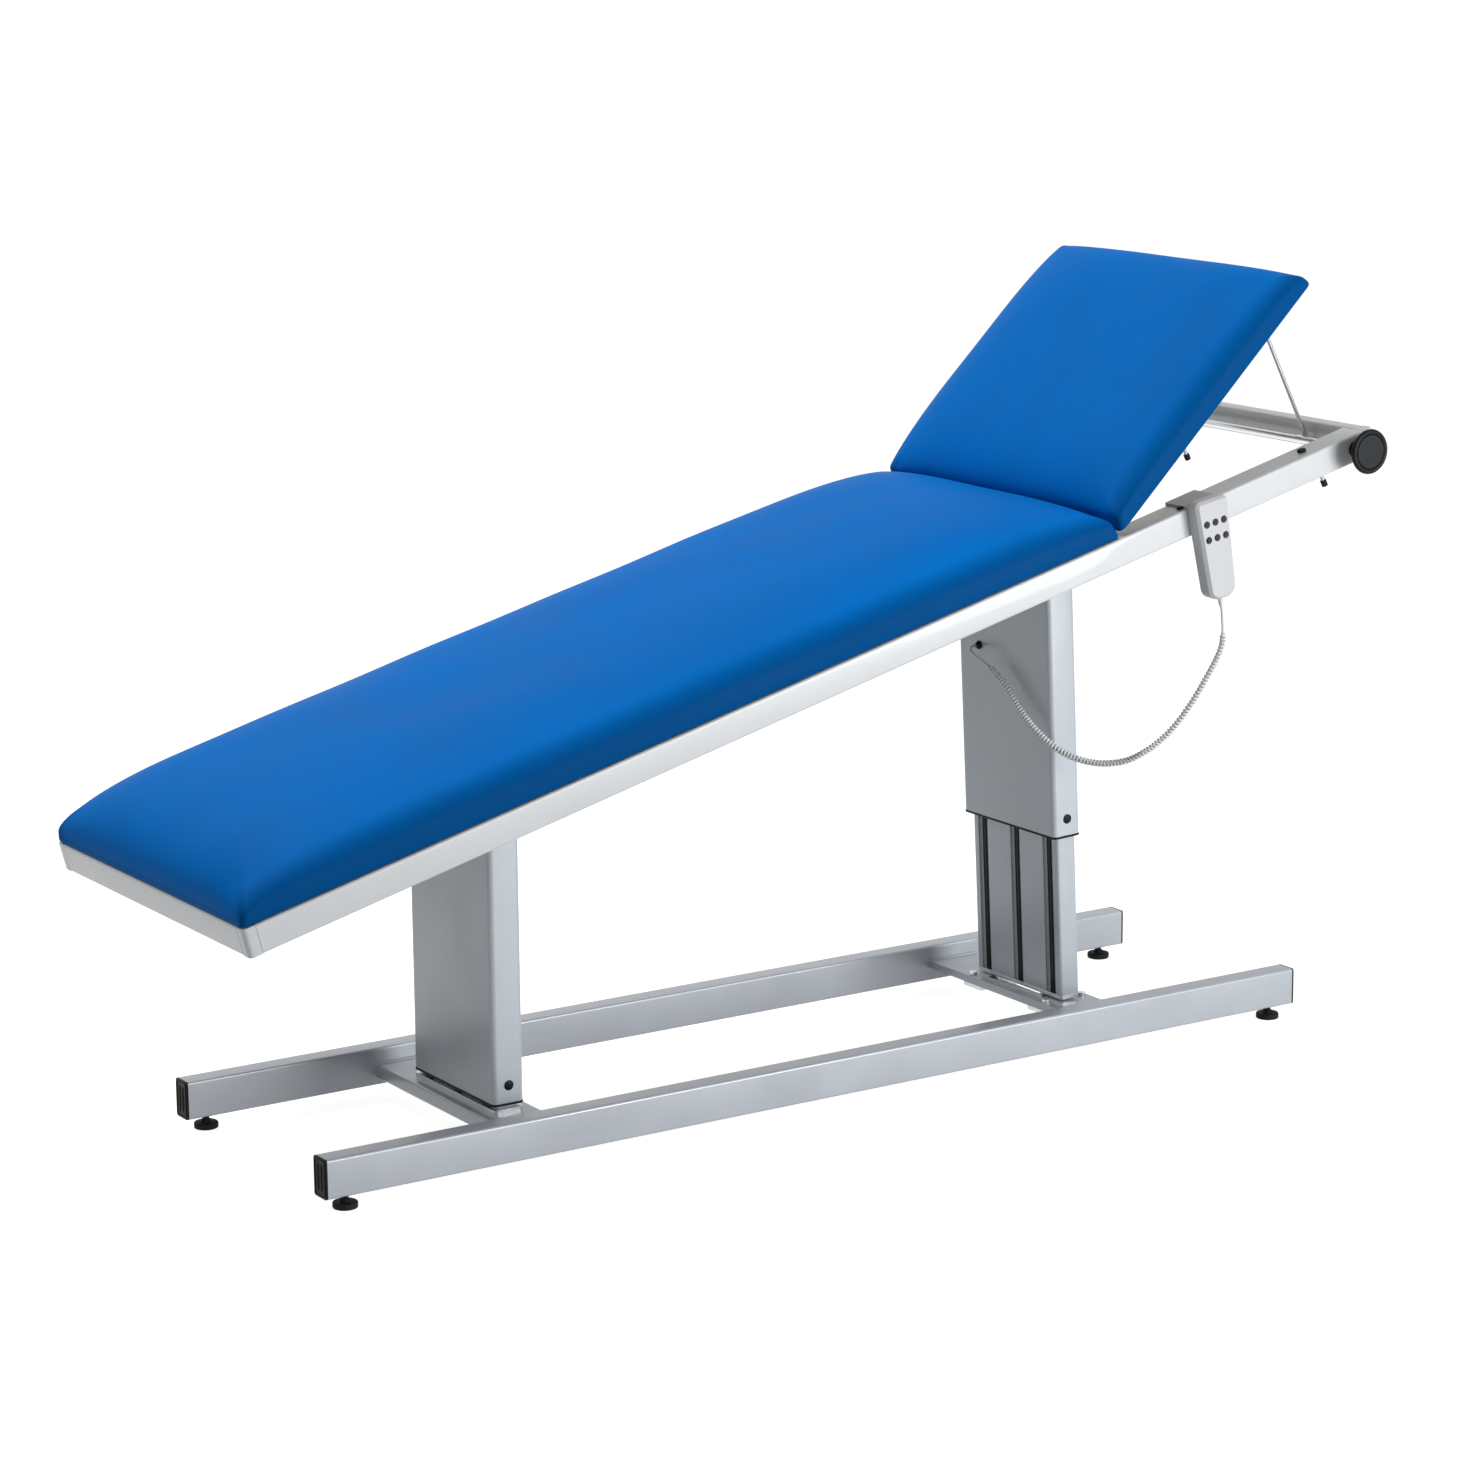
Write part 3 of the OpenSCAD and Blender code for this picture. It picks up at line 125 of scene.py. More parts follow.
def smooth_route(points, steps=24):
    """Catmull-Rom curve through the points between the first and the last one, with straight leads
    to these two. On each span from b to c it is a cubic in u whose slopes at the span's ends are
    half of c - a and half of d - b."""
    u = (np.arange(steps) / steps)[:, None, None]
    a, b, c, d = points[:-3], points[1:-2], points[2:-1], points[3:]
    run = 0.5 * (2 * b + (c - a) * u + (2 * a - 5 * b + 4 * c - d) * u ** 2
                 + (3 * b - a - 3 * c + d) * u ** 3)
    middle = run.transpose(1, 0, 2).reshape(-1, 3)
    return np.concatenate([points[:1], middle, points[-2:]])


def unit(vectors):
    """Vectors divided by their lengths."""
    return vectors / np.linalg.norm(vectors, axis=-1, keepdims=True)


def run_along(line):
    """Distance along a line at each of its points: the sum of the steps before it."""
    return np.concatenate([[0], np.cumsum(np.linalg.norm(np.diff(line, axis=0), axis=1))])


def grid_faces(rows, columns, closed_rows=False, closed_columns=False):
    """Quads between neighbouring points of a grid that is stored row by row."""
    r = np.arange(rows if closed_rows else rows - 1)
    c = np.arange(columns if closed_columns else columns - 1)
    r, c = np.meshgrid(r, c, indexing="ij")
    r2, c2 = (r + 1) % rows, (c + 1) % columns
    quads = np.stack([r * columns + c, r2 * columns + c, r2 * columns + c2, r * columns + c2], -1)
    return quads.reshape(-1, 4).tolist()


def tube(line, radius, sides, reference):
    """Rings along a line: the radius times the cosine of the angle on a spoke, and times its sine
    on the spoke's cross product with the line. The spoke is the reference made square to the
    line. Both ends are closed."""
    way = unit(np.gradient(line, axis=0))
    spoke = unit(reference - (reference * way).sum(1, keepdims=True) * way)
    other = np.cross(way, spoke)
    angle = np.arange(sides) * 2 * np.pi / sides
    rings = (line[:, None] + np.reshape(radius, (-1, 1, 1))
             * (np.cos(angle)[None, :, None] * spoke[:, None]
                + np.sin(angle)[None, :, None] * other[:, None]))
    n = len(line)
    faces = [face[::-1] for face in grid_faces(n, sides, closed_columns=True)]
    faces += [list(range(sides))[::-1], list(range((n - 1) * sides, n * sides))]
    return rings.reshape(-1, 3), faces


def new_piece(name, points, faces, body, material, slot):
    """A mesh piece that rides on a body and takes the material it is given; the slot argument is
    not used. Without a body it is left free."""
    mesh = bpy.data.meshes.new(name)
    mesh.from_pydata(np.asarray(points, float).tolist(), [], faces)
    mesh.update()
    mesh.polygons.foreach_set("use_smooth", np.ones(len(mesh.polygons), bool))
    shape = bmesh.new()
    shape.from_mesh(mesh)
    bmesh.ops.recalc_face_normals(shape, faces=shape.faces)
    shape.to_mesh(mesh)
    shape.free()
    piece = bpy.data.objects.new(name, mesh)
    bpy.context.scene.collection.objects.link(piece)
    mesh.materials.append(material)
    if body:
        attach(piece, body)
    return piece


def finish(name, colour, roughness, grain, grain_scale=600.0, stretch=(1, 1, 1), metallic=0.0,
           mottle=0.04, mottle_scale=7.0, coat=0.0, shine=0.5, painted_shade_attribute=None):
    """A finish whose colour drifts a little over large patches, whose gloss is uneven and whose
    surface has a fine grain, so many metres deep. stretch draws the grain out along an axis, as
    drawing or brushing does. An optional vertex attribute paints shade into the colour: where it
    is high the colour darkens towards half, as painted shade on the sides of a cushion."""
    noise_low, noise_high = 0.3, 0.7
    uneven, painted_shade_level, grain_strength = 0.06, 0.5, 0.6
    material = bpy.data.materials.new(name)
    material.use_nodes = True
    tree = material.node_tree
    shader = tree.nodes["Principled BSDF"]
    shader.inputs["Metallic"].default_value = metallic
    shader.inputs["Coat Weight"].default_value = coat
    shader.inputs["Specular IOR Level"].default_value = shine
    place = tree.nodes.new("ShaderNodeTexCoord").outputs["Object"]

    def noise(scale, detail, drawn=(1, 1, 1)):
        """Noise on the piece's own coordinates."""
        mapping = tree.nodes.new("ShaderNodeMapping")
        mapping.inputs["Scale"].default_value = drawn
        texture = tree.nodes.new("ShaderNodeTexNoise")
        texture.inputs["Scale"].default_value = scale
        texture.inputs["Detail"].default_value = detail
        tree.links.new(place, mapping.inputs["Vector"])
        tree.links.new(mapping.outputs["Vector"], texture.inputs["Vector"])
        return texture.outputs["Fac"]

    def between(value, low, high):
        """The middle of the noise's range, spread from low to high."""
        spread = tree.nodes.new("ShaderNodeMapRange")
        spread.inputs["From Min"].default_value = noise_low
        spread.inputs["From Max"].default_value = noise_high
        spread.inputs["To Min"].default_value = low
        spread.inputs["To Max"].default_value = high
        tree.links.new(value, spread.inputs["Value"])
        return spread.outputs["Result"]

    def mix(factor, first, second):
        """Mix node between a first input, a colour or a link, and a second colour."""
        node = tree.nodes.new("ShaderNodeMix")
        node.data_type = "RGBA"
        tree.links.new(factor, node.inputs["Factor"])
        if isinstance(first, tuple):
            node.inputs["A"].default_value = first
        else:
            tree.links.new(first, node.inputs["A"])
        node.inputs["B"].default_value = second
        return node.outputs["Result"]

    patches = noise(mottle_scale, 3.0)
    darker = (*[c * (1 - mottle) for c in colour], 1)
    lighter = (*[min(1.0, c * (1 + mottle)) for c in colour], 1)
    coloured = mix(between(patches, 0, 1), darker, lighter)
    # Painted shade: the colour is darkened towards half of itself where the named vertex attribute is
    # high.
    if painted_shade_attribute:
        painted_shade_node = tree.nodes.new("ShaderNodeAttribute")
        painted_shade_node.attribute_name = painted_shade_attribute
        coloured = mix(painted_shade_node.outputs["Fac"], coloured, (*[c * painted_shade_level for c in colour], 1))
    tree.links.new(coloured, shader.inputs["Base Color"])
    fine = noise(grain_scale, 2.0, stretch)
    rough = tree.nodes.new("ShaderNodeMath")
    rough.operation = "ADD"
    tree.links.new(between(patches, roughness - uneven, roughness + uneven), rough.inputs[0])
    tree.links.new(between(fine, -uneven / 2, uneven / 2), rough.inputs[1])
    tree.links.new(rough.outputs["Value"], shader.inputs["Roughness"])
    bump = tree.nodes.new("ShaderNodeBump")
    bump.inputs["Strength"].default_value = grain_strength
    bump.inputs["Distance"].default_value = grain
    tree.links.new(fine, bump.inputs["Height"])
    tree.links.new(bump.outputs["Normal"], shader.inputs["Normal"])
    return material


# The wire's centre line is the route, plus the swell times the cosine of the turn across it, plus
# the swell times its sine square to both. The swell grows to the curl's radius over the first two
# curls, with three times the square of the share less twice its cube, and shrinks so at the end.
route = smooth_route(knots)
route_at = run_along(route)
route_l = route_at[-1]
coil_to = route_l - coil_end_lead
pitch = (coil_to - coil_from) / curls
stops = np.concatenate([np.linspace(0, coil_from, lead_stops)[:-1],
                        np.linspace(coil_from, coil_to, curls * rings_a_curl + 1),
                        np.linspace(coil_to, route_l, lead_stops)[1:]])
core = np.stack([np.interp(stops, route_at, route[:, k]) for k in range(3)], 1)
core_way = unit(np.gradient(core, axis=0))
cord_plane = unit(np.array([cord_end[1] - cord_start[1], cord_start[0] - cord_end[0], 0]))
across_core = unit(cord_plane - (core_way @ cord_plane)[:, None] * core_way)
turned = 2 * np.pi * (np.clip(stops, coil_from, coil_to) - coil_from) / pitch
outward = (np.cos(turned)[:, None] * across_core
           + np.sin(turned)[:, None] * np.cross(core_way, across_core))
ramp = np.clip(np.minimum(stops - coil_from, coil_to - stops) / (ramp_curls * pitch), 0, 1)
wire = core + (curl_r * ramp ** 2 * (3 - 2 * ramp))[:, None] * outward

cord_plastic = finish("cord_plastic", (0.66, 0.68, 0.69), 0.5, grain=0.00005, grain_scale=900)
cord = new_piece("curly_cord", *tube(wire, wire_d / 2, wire_sides, outward), None,
                 cord_plastic, "cord_plastic")
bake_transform(cord)
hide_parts("handset_cord")

# Studio
# A pale floor that runs out into a white background, one large soft lamp on the near side
# towards the head end, a soft one above, and an even sky for the rest.
floor_side, floor_near, floor_far = 14, 9, 30
floor_grey, floor_glow = 0.5, 0.88
sky_light, sky_seen = 0.31, 1.0
table_middle = Vector((0.0, 0.0, 0.6))


def shown_rays(tree):
    """1 for the rays that show the background itself: camera, glossy and transmission rays."""
    rays = tree.nodes.new("ShaderNodeLightPath")
    total = rays.outputs["Is Camera Ray"]
    for kind in ("Is Glossy Ray", "Is Transmission Ray"):
        larger = tree.nodes.new("ShaderNodeMath")
        larger.operation = "MAXIMUM"
        tree.links.new(total, larger.inputs[0])
        tree.links.new(rays.outputs[kind], larger.inputs[1])
        total = larger.outputs["Value"]
    return total


# The floor's own glow, seen only by those rays, comes to white together with the light on it.
floor_mesh = bpy.data.meshes.new("studio_floor")
floor_mesh.from_pydata([(-floor_side, -floor_near, 0), (floor_side, -floor_near, 0),
                        (floor_side, floor_far, 0), (-floor_side, floor_far, 0)], [], [(0, 1, 2, 3)])
floor = bpy.data.objects.new("studio_floor", floor_mesh)
bpy.context.scene.collection.objects.link(floor)
floor_white = bpy.data.materials.new("studio_floor")
floor_white.use_nodes = True
tree = floor_white.node_tree
tree.nodes.clear()
matt = tree.nodes.new("ShaderNodeBsdfDiffuse")
matt.inputs["Color"].default_value = (floor_grey, floor_grey, floor_grey, 1)
glow = tree.nodes.new("ShaderNodeEmission")
both = tree.nodes.new("ShaderNodeAddShader")
level = tree.nodes.new("ShaderNodeMath")
level.operation = "MULTIPLY"
level.inputs[1].default_value = floor_glow
tree.links.new(shown_rays(tree), level.inputs[0])
tree.links.new(level.outputs["Value"], glow.inputs["Strength"])
tree.links.new(matt.outputs["BSDF"], both.inputs[0])
tree.links.new(glow.outputs["Emission"], both.inputs[1])
tree.links.new(both.outputs["Shader"], tree.nodes.new("ShaderNodeOutputMaterial").inputs["Surface"])
floor_mesh.materials.append(floor_white)

world = bpy.data.worlds.new("studio")
bpy.context.scene.world = world
world.use_nodes = True
tree = world.node_tree
background = tree.nodes["Background"]
background.inputs["Color"].default_value = (1, 1, 1, 1)
strength = tree.nodes.new("ShaderNodeMapRange")
strength.inputs["To Min"].default_value = sky_light
strength.inputs["To Max"].default_value = sky_seen
tree.links.new(shown_rays(tree), strength.inputs["Value"])
tree.links.new(strength.outputs["Result"], background.inputs["Strength"])


def soft_lamp(name, place, size, power):
    """A square area lamp that faces the table's middle."""
    lamp = bpy.data.objects.new(name, bpy.data.lights.new(name, "AREA"))
    lamp.data.size = size
    lamp.data.energy = power
    lamp.location = place
    lamp.rotation_euler = (table_middle - Vector(place)).to_track_quat("-Z", "Y").to_euler()
    bpy.context.scene.collection.objects.link(lamp)


soft_lamp("key_lamp", place=(1.9, -3.9, 1.0), size=2.2, power=155)
soft_lamp("top_lamp", place=(-0.8, 0.8, 3.6), size=3.0, power=94)
bpy.context.scene.view_settings.view_transform = "Standard"


# Floor frame
# Two rectangular steel tubes with silver-grey powder coat, closed with black plastic plugs, and
# two cross members welded between them. The tubes' edges are rounded, which catches the light.
def dress(name, material, edge, segments=2):
    """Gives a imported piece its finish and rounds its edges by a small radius. Its triangles are
    merged and its flat faces joined first, so that only the real edges are rounded."""
    merge_within, flat_within, edge_over = 0.00001, math.radians(0.5), math.radians(35)
    piece = nodes[name]
    piece.data.materials.clear()
    piece.data.materials.append(material)
    if "custom_normal" in piece.data.attributes:
        piece.data.attributes.remove(piece.data.attributes["custom_normal"])
    piece.data.polygons.foreach_set("use_smooth", np.ones(len(piece.data.polygons), bool))
    weld = piece.modifiers.new("weld", "WELD")
    weld.merge_threshold = merge_within
    flat = piece.modifiers.new("flat", "DECIMATE")
    flat.decimate_type = "DISSOLVE"
    flat.angle_limit = flat_within
    round_edge = piece.modifiers.new("edge", "BEVEL")
    round_edge.width = edge
    round_edge.segments = segments
    round_edge.limit_method = "ANGLE"
    round_edge.angle_limit = edge_over
    round_edge.harden_normals = True


silver_paint = finish("silver_paint", (0.41, 0.44, 0.48), 0.36, metallic=0.2, grain=0.00004,
                      grain_scale=500, coat=0.15)
black_plastic = finish("black_plastic", (0.006, 0.006, 0.008), 0.45, grain=0.00005,
                       grain_scale=800, shine=0.12)
dress("base_rails", silver_paint, 0.0006)
dress("foot_cross_member", silver_paint, 0.0006)
dress("head_cross_member", silver_paint, 0.001)
dress("base_rail_plugs", black_plastic, 0.0008)

# Rail ends and welds
# Each black end plug has a raised rim and two upright ribs on its face. The cross members are
# joined to the rails' inner faces by weld beads, painted over in the same silver grey.
base_l, base_x, base_clear = 1.725, 0.025, 0.021
base_rail_w, base_rail_h, rail_y = 0.036, 0.058, 0.2195
plug_flange, bead_sides, corner_steps = 0.003, 8, 8
rim_inset, rim_corner_r, rim_r = 0.006, 0.003, 0.0014
rib_y, rib_half_l, rib_r, rib_stops = 0.005, 0.020, 0.0013, 17
foot_column_x, cross_z, cross_w = -0.482, 0.054, 0.090
foot_cross_half_h, head_cross_half_h = 0.022, 0.012
weld_r, weld_in, weld_step, ripple, ripple_rise = 0.0026, 0.001, 0.0009, 0.0034, 0.14


def rounded_outline(width, height, radius):
    """Points on a rectangle with quarter circles at its corners, going round once."""
    angle = np.linspace(0, np.pi / 2, corner_steps)
    inner = [width / 2 - radius, height / 2 - radius]
    corners = np.array([[1, 1], [-1, 1], [-1, -1], [1, -1]]) * inner
    quarters = [angle + k * np.pi / 2 for k in range(4)]
    return np.concatenate([corner + radius * np.stack([np.cos(quarter), np.sin(quarter)], 1)
                           for corner, quarter in zip(corners, quarters)])


def closed_bead(path, radius):
    """A round bead along a closed flat path: circles square to the path, joined end to end. The
    path's plane goes through its first two points and one a third of the way round."""
    way = unit(np.roll(path, -1, 0) - np.roll(path, 1, 0))
    flat = unit(np.cross(path[1] - path[0], path[len(path) // 3] - path[0]))
    side = np.cross(way, flat)
    angle = np.arange(bead_sides) * 2 * np.pi / bead_sides
    rings = path[:, None] + radius * (np.cos(angle)[None, :, None] * side[:, None]
                                      + np.sin(angle)[None, :, None] * flat)
    faces = grid_faces(len(path), bead_sides, closed_rows=True, closed_columns=True)
    return rings.reshape(-1, 3), faces


def joined(shapes):
    """One list of points and one of faces from several of each."""
    points, faces, count = [], [], 0
    for shape_points, shape_faces in shapes:
        points.append(shape_points)
        faces += [[count + k for k in face] for face in shape_faces]
        count += len(shape_points)
    return np.concatenate(points), faces


def weld(path, radius, reference):
    """A bead with its points a step apart, whose radius rises and falls by a seventh with the
    cosine of the distance along it, once every ripple."""
    at = run_along(path)
    stops = np.linspace(0, at[-1], int(at[-1] / weld_step) + 1)
    line = np.stack([np.interp(stops, at, path[:, k]) for k in range(3)], 1)
    rippled = radius * (1 + ripple_rise * np.cos(2 * np.pi * stops / ripple))
    return tube(line, rippled, bead_sides, reference)


# A rib's radius shrinks to its ends with the root of 1 - |a|^8.
plug_outline = rounded_outline(base_rail_w - rim_inset, base_rail_h - rim_inset, rim_corner_r)
rib_run = np.linspace(-rib_half_l, rib_half_l, rib_stops)[:, None] * [0, 0, 1]
rib_swell = rib_r * np.sqrt(np.clip(1 - np.linspace(-0.99, 0.99, rib_stops) ** 8, 0, 1))
plug_shapes = []
for end in (-1, 1):
    for side in (-1, 1):
        middle = np.array([base_x + end * (base_l / 2 + plug_flange), side * rail_y,
                           base_clear + base_rail_h / 2])
        rim = middle + plug_outline[:, :1] * [0, 1, 0] + plug_outline[:, 1:] * [0, 0, 1]
        plug_shapes.append(closed_bead(rim, rim_r))
        for place in (-rib_y, rib_y):
            rib = middle + [0, place, 0] + rib_run
            plug_shapes.append(tube(rib, rib_swell, bead_sides, frame_across))
new_piece("plug_faces", *joined(plug_shapes), "base", black_plastic, "black_plastic")

# A weld follows the upper half of its cross member's outline: the first two corners' points.
weld_shapes = []
for cross_x, half_h in ((foot_column_x, foot_cross_half_h), (base_pivot[0], head_cross_half_h)):
    for side in (-1, 1):
        arch = rounded_outline(cross_w, 2 * half_h - 2 * weld_in, 2 * weld_in)[:2 * corner_steps]
        seam = (np.array([cross_x, side * (rail_y - base_rail_w / 2), cross_z - half_h + weld_in])
                + arch[:, :1] * [1, 0, 0] + arch[:, 1:] * [0, 0, 1])
        weld_shapes.append(weld(seam, weld_r, frame_across))
new_piece("base_welds", *joined(weld_shapes), "base", silver_paint, "silver_paint")

# Levelling feet
# Black discs with studs that turn in zinc-plated threaded inserts, which are pressed into the
# undersides of the rails near their ends. They level the frame on an uneven floor.
rubber = finish("rubber", (0.005, 0.005, 0.006), 0.7, grain=0.00012, grain_scale=500, shine=0.2)
zinc = finish("zinc", (0.62, 0.63, 0.65), 0.34, metallic=1.0, grain=0.00002, grain_scale=300,
              mottle=0.08, mottle_scale=60)
for corner in (1, 2, 3, 4):
    dress(f"levelling_foot_{corner}", rubber, 0.0004)
dress("foot_inserts", zinc, 0.0004)

# Columns
# Telescoping extruded aluminium, satin anodised, with fine drawing lines along it. Steel caps
# carry the ears for the pivot pins, and black plastic collars guide the inner profiles.
column_aluminium = finish("column_aluminium", (0.42, 0.46, 0.50), 0.40, metallic=0.15,
                          grain=0.00003, grain_scale=260, stretch=(1, 1, 0.03), mottle=0.03)
for name in ("foot_outer_column", "head_outer_column", "foot_inner_column", "head_inner_column"):
    dress(name, column_aluminium, 0.0005)
for name in ("foot_collar", "head_collar", "foot_cover_plugs", "head_cover_plugs", "cord_gland"):
    dress(name, black_plastic, 0.0004)
for name in ("foot_column_cap", "head_column_cap", "head_foot_plate", "foot_base_plate",
             "base_pivot_brackets"):
    dress(name, zinc, 0.0006)
for name in ("base_pivot_pin", "frame_pivot_pins", "base_screws"):
    dress(name, zinc, 0.0004)

# Column strips and seals
# Black plastic strips lie in the inner profiles' grooves and make their floors dark, each with two
# low ribs, and a soft black bead closes the gap under each outer profile.
inner_d, inner_l, lean_play = 0.036, 0.425, 0.00375
groove_depth, groove_pitch = 0.004, 0.085
strip_w, strip_t, strip_foot, strip_inset = 0.012, 0.0010, 0.0001, 0.0005
strip_stops, strip_rings = 33, 18
rib_at, rib_half_w, rib_h = 0.6, 0.16, 0.0007
turn_at, turn_w, turn_h = 0.92, 0.08, 0.0008
cap_t, base_pivot_rise, outer_w, outer_r, outer_clear = 0.006, 0.017, 0.239, 0.008, 0.014
seal_r, seal_inset, seal_drop = 0.0021, 0.0014, 0.0012
foot_column = np.array([foot_column_x, 0.0, 0.0])
foot_axes = np.eye(3)
head_axes = np.stack([column_along, frame_across, column_up])


def strips(name, body, base, axes, shift):
    """Six strips along a column, three to a face. Across a strip the height is flat with two
    bumps, each a squared cosine, and it falls at the long edges with the square of the distance.
    Places across it are shares of half its width."""
    across = np.linspace(-1, 1, strip_stops)
    bumps = np.cos(np.clip((np.abs(across) - rib_at) / rib_half_w, -1, 1) * np.pi / 2) ** 2
    turned_down = np.clip((np.abs(across) - turn_at) / turn_w, 0, 1) ** 2
    height = strip_t + rib_h * bumps - turn_h * turned_down
    outline = np.concatenate([np.stack([height, across * strip_w / 2], 1),
                              [[strip_foot, strip_w / 2], [strip_foot, -strip_w / 2]]])
    points, faces = [], []
    n = len(outline)
    for side in (-1, 1):
        for k in (-1, 0, 1):
            start = len(points) * n
            points += [base + (shift + side * (inner_d / 2 - groove_depth + outline[:, :1])) * axes[0]
                       + (k * groove_pitch + outline[:, 1:]) * axes[1] + z * axes[2]
                       for z in np.linspace(strip_inset, inner_l - strip_inset, strip_rings)]
            last = start + (strip_rings - 1) * n
            quads = (start + np.array(grid_faces(strip_rings, n, closed_columns=True))).tolist()
            quads += [list(range(start, start + n)), list(range(last, last + n))[::-1]]
            faces += quads if side > 0 else [face[::-1] for face in quads]
    new_piece(name, np.concatenate(points), faces, body, black_plastic, "black_plastic")


def seal(name, body, base, axes):
    """Bead round the lower end of an outer profile."""
    outline = rounded_outline(outer_d - seal_inset, outer_w - seal_inset, outer_r)
    path = base + outline[:, :1] * axes[0] + outline[:, 1:] * axes[1] - seal_drop * axes[2]
    new_piece(name, *closed_bead(path, seal_r), body, black_plastic, "black_plastic")


strips("head_groove_strips", "head_column_foot", base_pivot + (base_pivot_rise + cap_t) * column_up,
       head_axes, lean_play)
strips("foot_groove_strips", "base", foot_column + [0, 0, cross_z + cap_t], foot_axes, 0.0)
seal("foot_seal", "foot_lifter", foot_column + [0, 0, cross_z + outer_clear], foot_axes)
seal("head_seal", "head_lifter", base_pivot + outer_foot * column_up, head_axes)

# Lift drives
# Each column holds a black plastic gearbox with its motor, and a drawn steel push tube that
# rides on the spindle and lifts the outer profile by its cap.
housing = finish("drive_housing", (0.02, 0.02, 0.023), 0.5, grain=0.0001, grain_scale=400)
bright_steel = finish("bright_steel", (0.66, 0.68, 0.70), 0.25, metallic=1.0, grain=0.00001,
                      grain_scale=500, stretch=(1, 0.05, 1), mottle=0.03)
for name in ("foot_gearmotor", "head_gearmotor"):
    dress(name, housing, 0.0008)
for name in ("foot_push_tube", "head_push_tube"):
    dress(name, bright_steel, 0.0004)

# Table frame
# Rectangular steel tubes with a near-white powder coat, welded to moulded corner pieces, with
# crossbars underneath that carry the lugs of both column pivots.
white_paint = finish("white_paint", (0.55, 0.57, 0.59), 0.32, grain=0.00004, grain_scale=500,
                     coat=0.3, mottle=0.02)
for name in ("side_rails", "end_rails", "crossbars"):
    dress(name, white_paint, 0.0006)
dress("frame_corners", white_paint, 0.0015, 3)

# Boards
# Plywood under each cushion, sanded and left bare, with its grain along the table. The main one
# lies on the frame, and the head one is hinged to it.
plywood = finish("plywood", (0.36, 0.30, 0.23), 0.6, grain=0.0001, grain_scale=60,
                 stretch=(0.08, 1, 1), mottle=0.15, mottle_scale=18)
dress("main_board", plywood, 0.0006)
dress("head_board", plywood, 0.0006)

# Cushions
# Foam under blue leatherette, drawn tight over the board's edge and tucked in below. The top is
# crowned, a fold runs from it into each corner, and the cover swells a little over the foam.
main_l, main_crown, head_l, head_crown = 1.520, 0.067, 0.5035, 0.054
edge_h, corner_r, board_in = 0.024, 0.010, 0.010
edge_fall, hollow_depth = 0.5, 0.0011
top_inset, under_inset, under_h = 0.0004, 0.014, 0.0045
side_rings = ((0.8, 0.0, 0.018), (0.5, 0.0, 0.012), (0.3, 0.0004, 0.007), (0.1, 0.0014, 0.003),
              (0.0, 0.0040, 0.0006))
top_hold, pressure, swell_steps, swell_most = 0.25, 4, 20, 0.006
fold_h, fold_w, fold_from, fold_l = 0.0026, 0.006, 0.030, 0.030
# Where the cushion's sides get painted shade: from nine tenths of the half width out to the edge, and
# at least a third on the rings below the top.
drawn_from, drawn_over, side_drawn = 0.90, 0.09, 0.3
leatherette = finish("blue_leatherette", (0.0, 0.133, 0.475), 0.50, grain=0.00012,
                     grain_scale=900, mottle=0.07, mottle_scale=6, shine=0.02, painted_shade_attribute="drawn")


def upholstered(l, crown, lean_start, lean_end, ends, steps_long, steps_wide):
    """Closed cushion on a grid that is finer towards its edges. The top is an edge height plus a
    crown times the root of 1 - |b|^4 across and the root of 1 - |a|^p along, with hollows a
    millimetre deep. The edge height falls by half, with the root of 1 - |a|^24, at an end that
    doesn't lean back from the hinge. The corners are quarter circles in plan: within the radius r
    of an end the half width is less by r - sqrt(r^2 - (r - d)^2) at the distance d. The rings
    below round the sides in to the underside: each has its share of the ends' lean, its inset and
    its height."""
    a = -np.cos(np.pi * np.arange(steps_long + 1) / steps_long)
    b = -np.cos(np.pi * np.arange(steps_wide + 1) / steps_wide)
    a, b = np.meshgrid(a, b, indexing="ij")
    power = np.where(a < 0, ends[0], ends[1])
    dome = (np.sqrt(np.clip(1 - np.abs(b) ** 4, 0, 1))
            * np.sqrt(np.clip(1 - np.abs(a) ** power, 0, 1)))
    fall = np.where(np.where(a < 0, lean_start, lean_end) < board_in, edge_fall, 0.0)
    edge = 1 - fall * (1 - np.sqrt(np.clip(1 - np.abs(a) ** 24, 0, 1)))

    def level(share, side, height):
        start, end = lean_start * share + side, lean_end * share + side
        length = l - start - end
        near_end = np.clip(corner_r - length * (1 - np.abs(a)) / 2, 0, corner_r)
        half = frame_w / 2 - side - corner_r + np.sqrt(corner_r ** 2 - near_end ** 2)
        return np.stack([start + length * (a + 1) / 2, half * b, height], -1)

    top = level(1.0, top_inset, edge_h * edge)
    x, y = top[..., 0], top[..., 1]
    hollows = np.sin(19 * x + 5 * y + 1) * np.sin(23 * y - 7 * x)
    top[..., 2] += (crown + hollow_depth * hollows) * dome
    n, m = steps_long, steps_wide
    rim = np.array([(i, 0) for i in range(n)] + [(n, j) for j in range(m)]
                   + [(i, m) for i in range(n, 0, -1)] + [(0, j) for j in range(m, 0, -1)])
    rim_at = rim[:, 0] * (m + 1) + rim[:, 1]
    points, faces = top.reshape(-1, 3), grid_faces(n + 1, m + 1)
    last = rim_at
    for share, side, height in side_rings:
        here = len(points) + np.arange(len(rim))
        ring = level(share, side, height * edge)[rim[:, 0], rim[:, 1]]
        points = np.concatenate([points, ring])
        faces += np.stack([last, np.roll(last, -1), np.roll(here, -1), here], -1)[:, ::-1].tolist()
        last = here
    under = len(points)
    here = under + rim_at
    underside = level(0.0, under_inset, np.full_like(a, under_h)).reshape(-1, 3)
    points = np.concatenate([points, underside])
    faces += np.stack([last, np.roll(last, -1), np.roll(here, -1), here], -1)[:, ::-1].tolist()
    faces += (under + np.array(grid_faces(n + 1, m + 1)))[:, ::-1].tolist()
    return points, faces, len(underside)


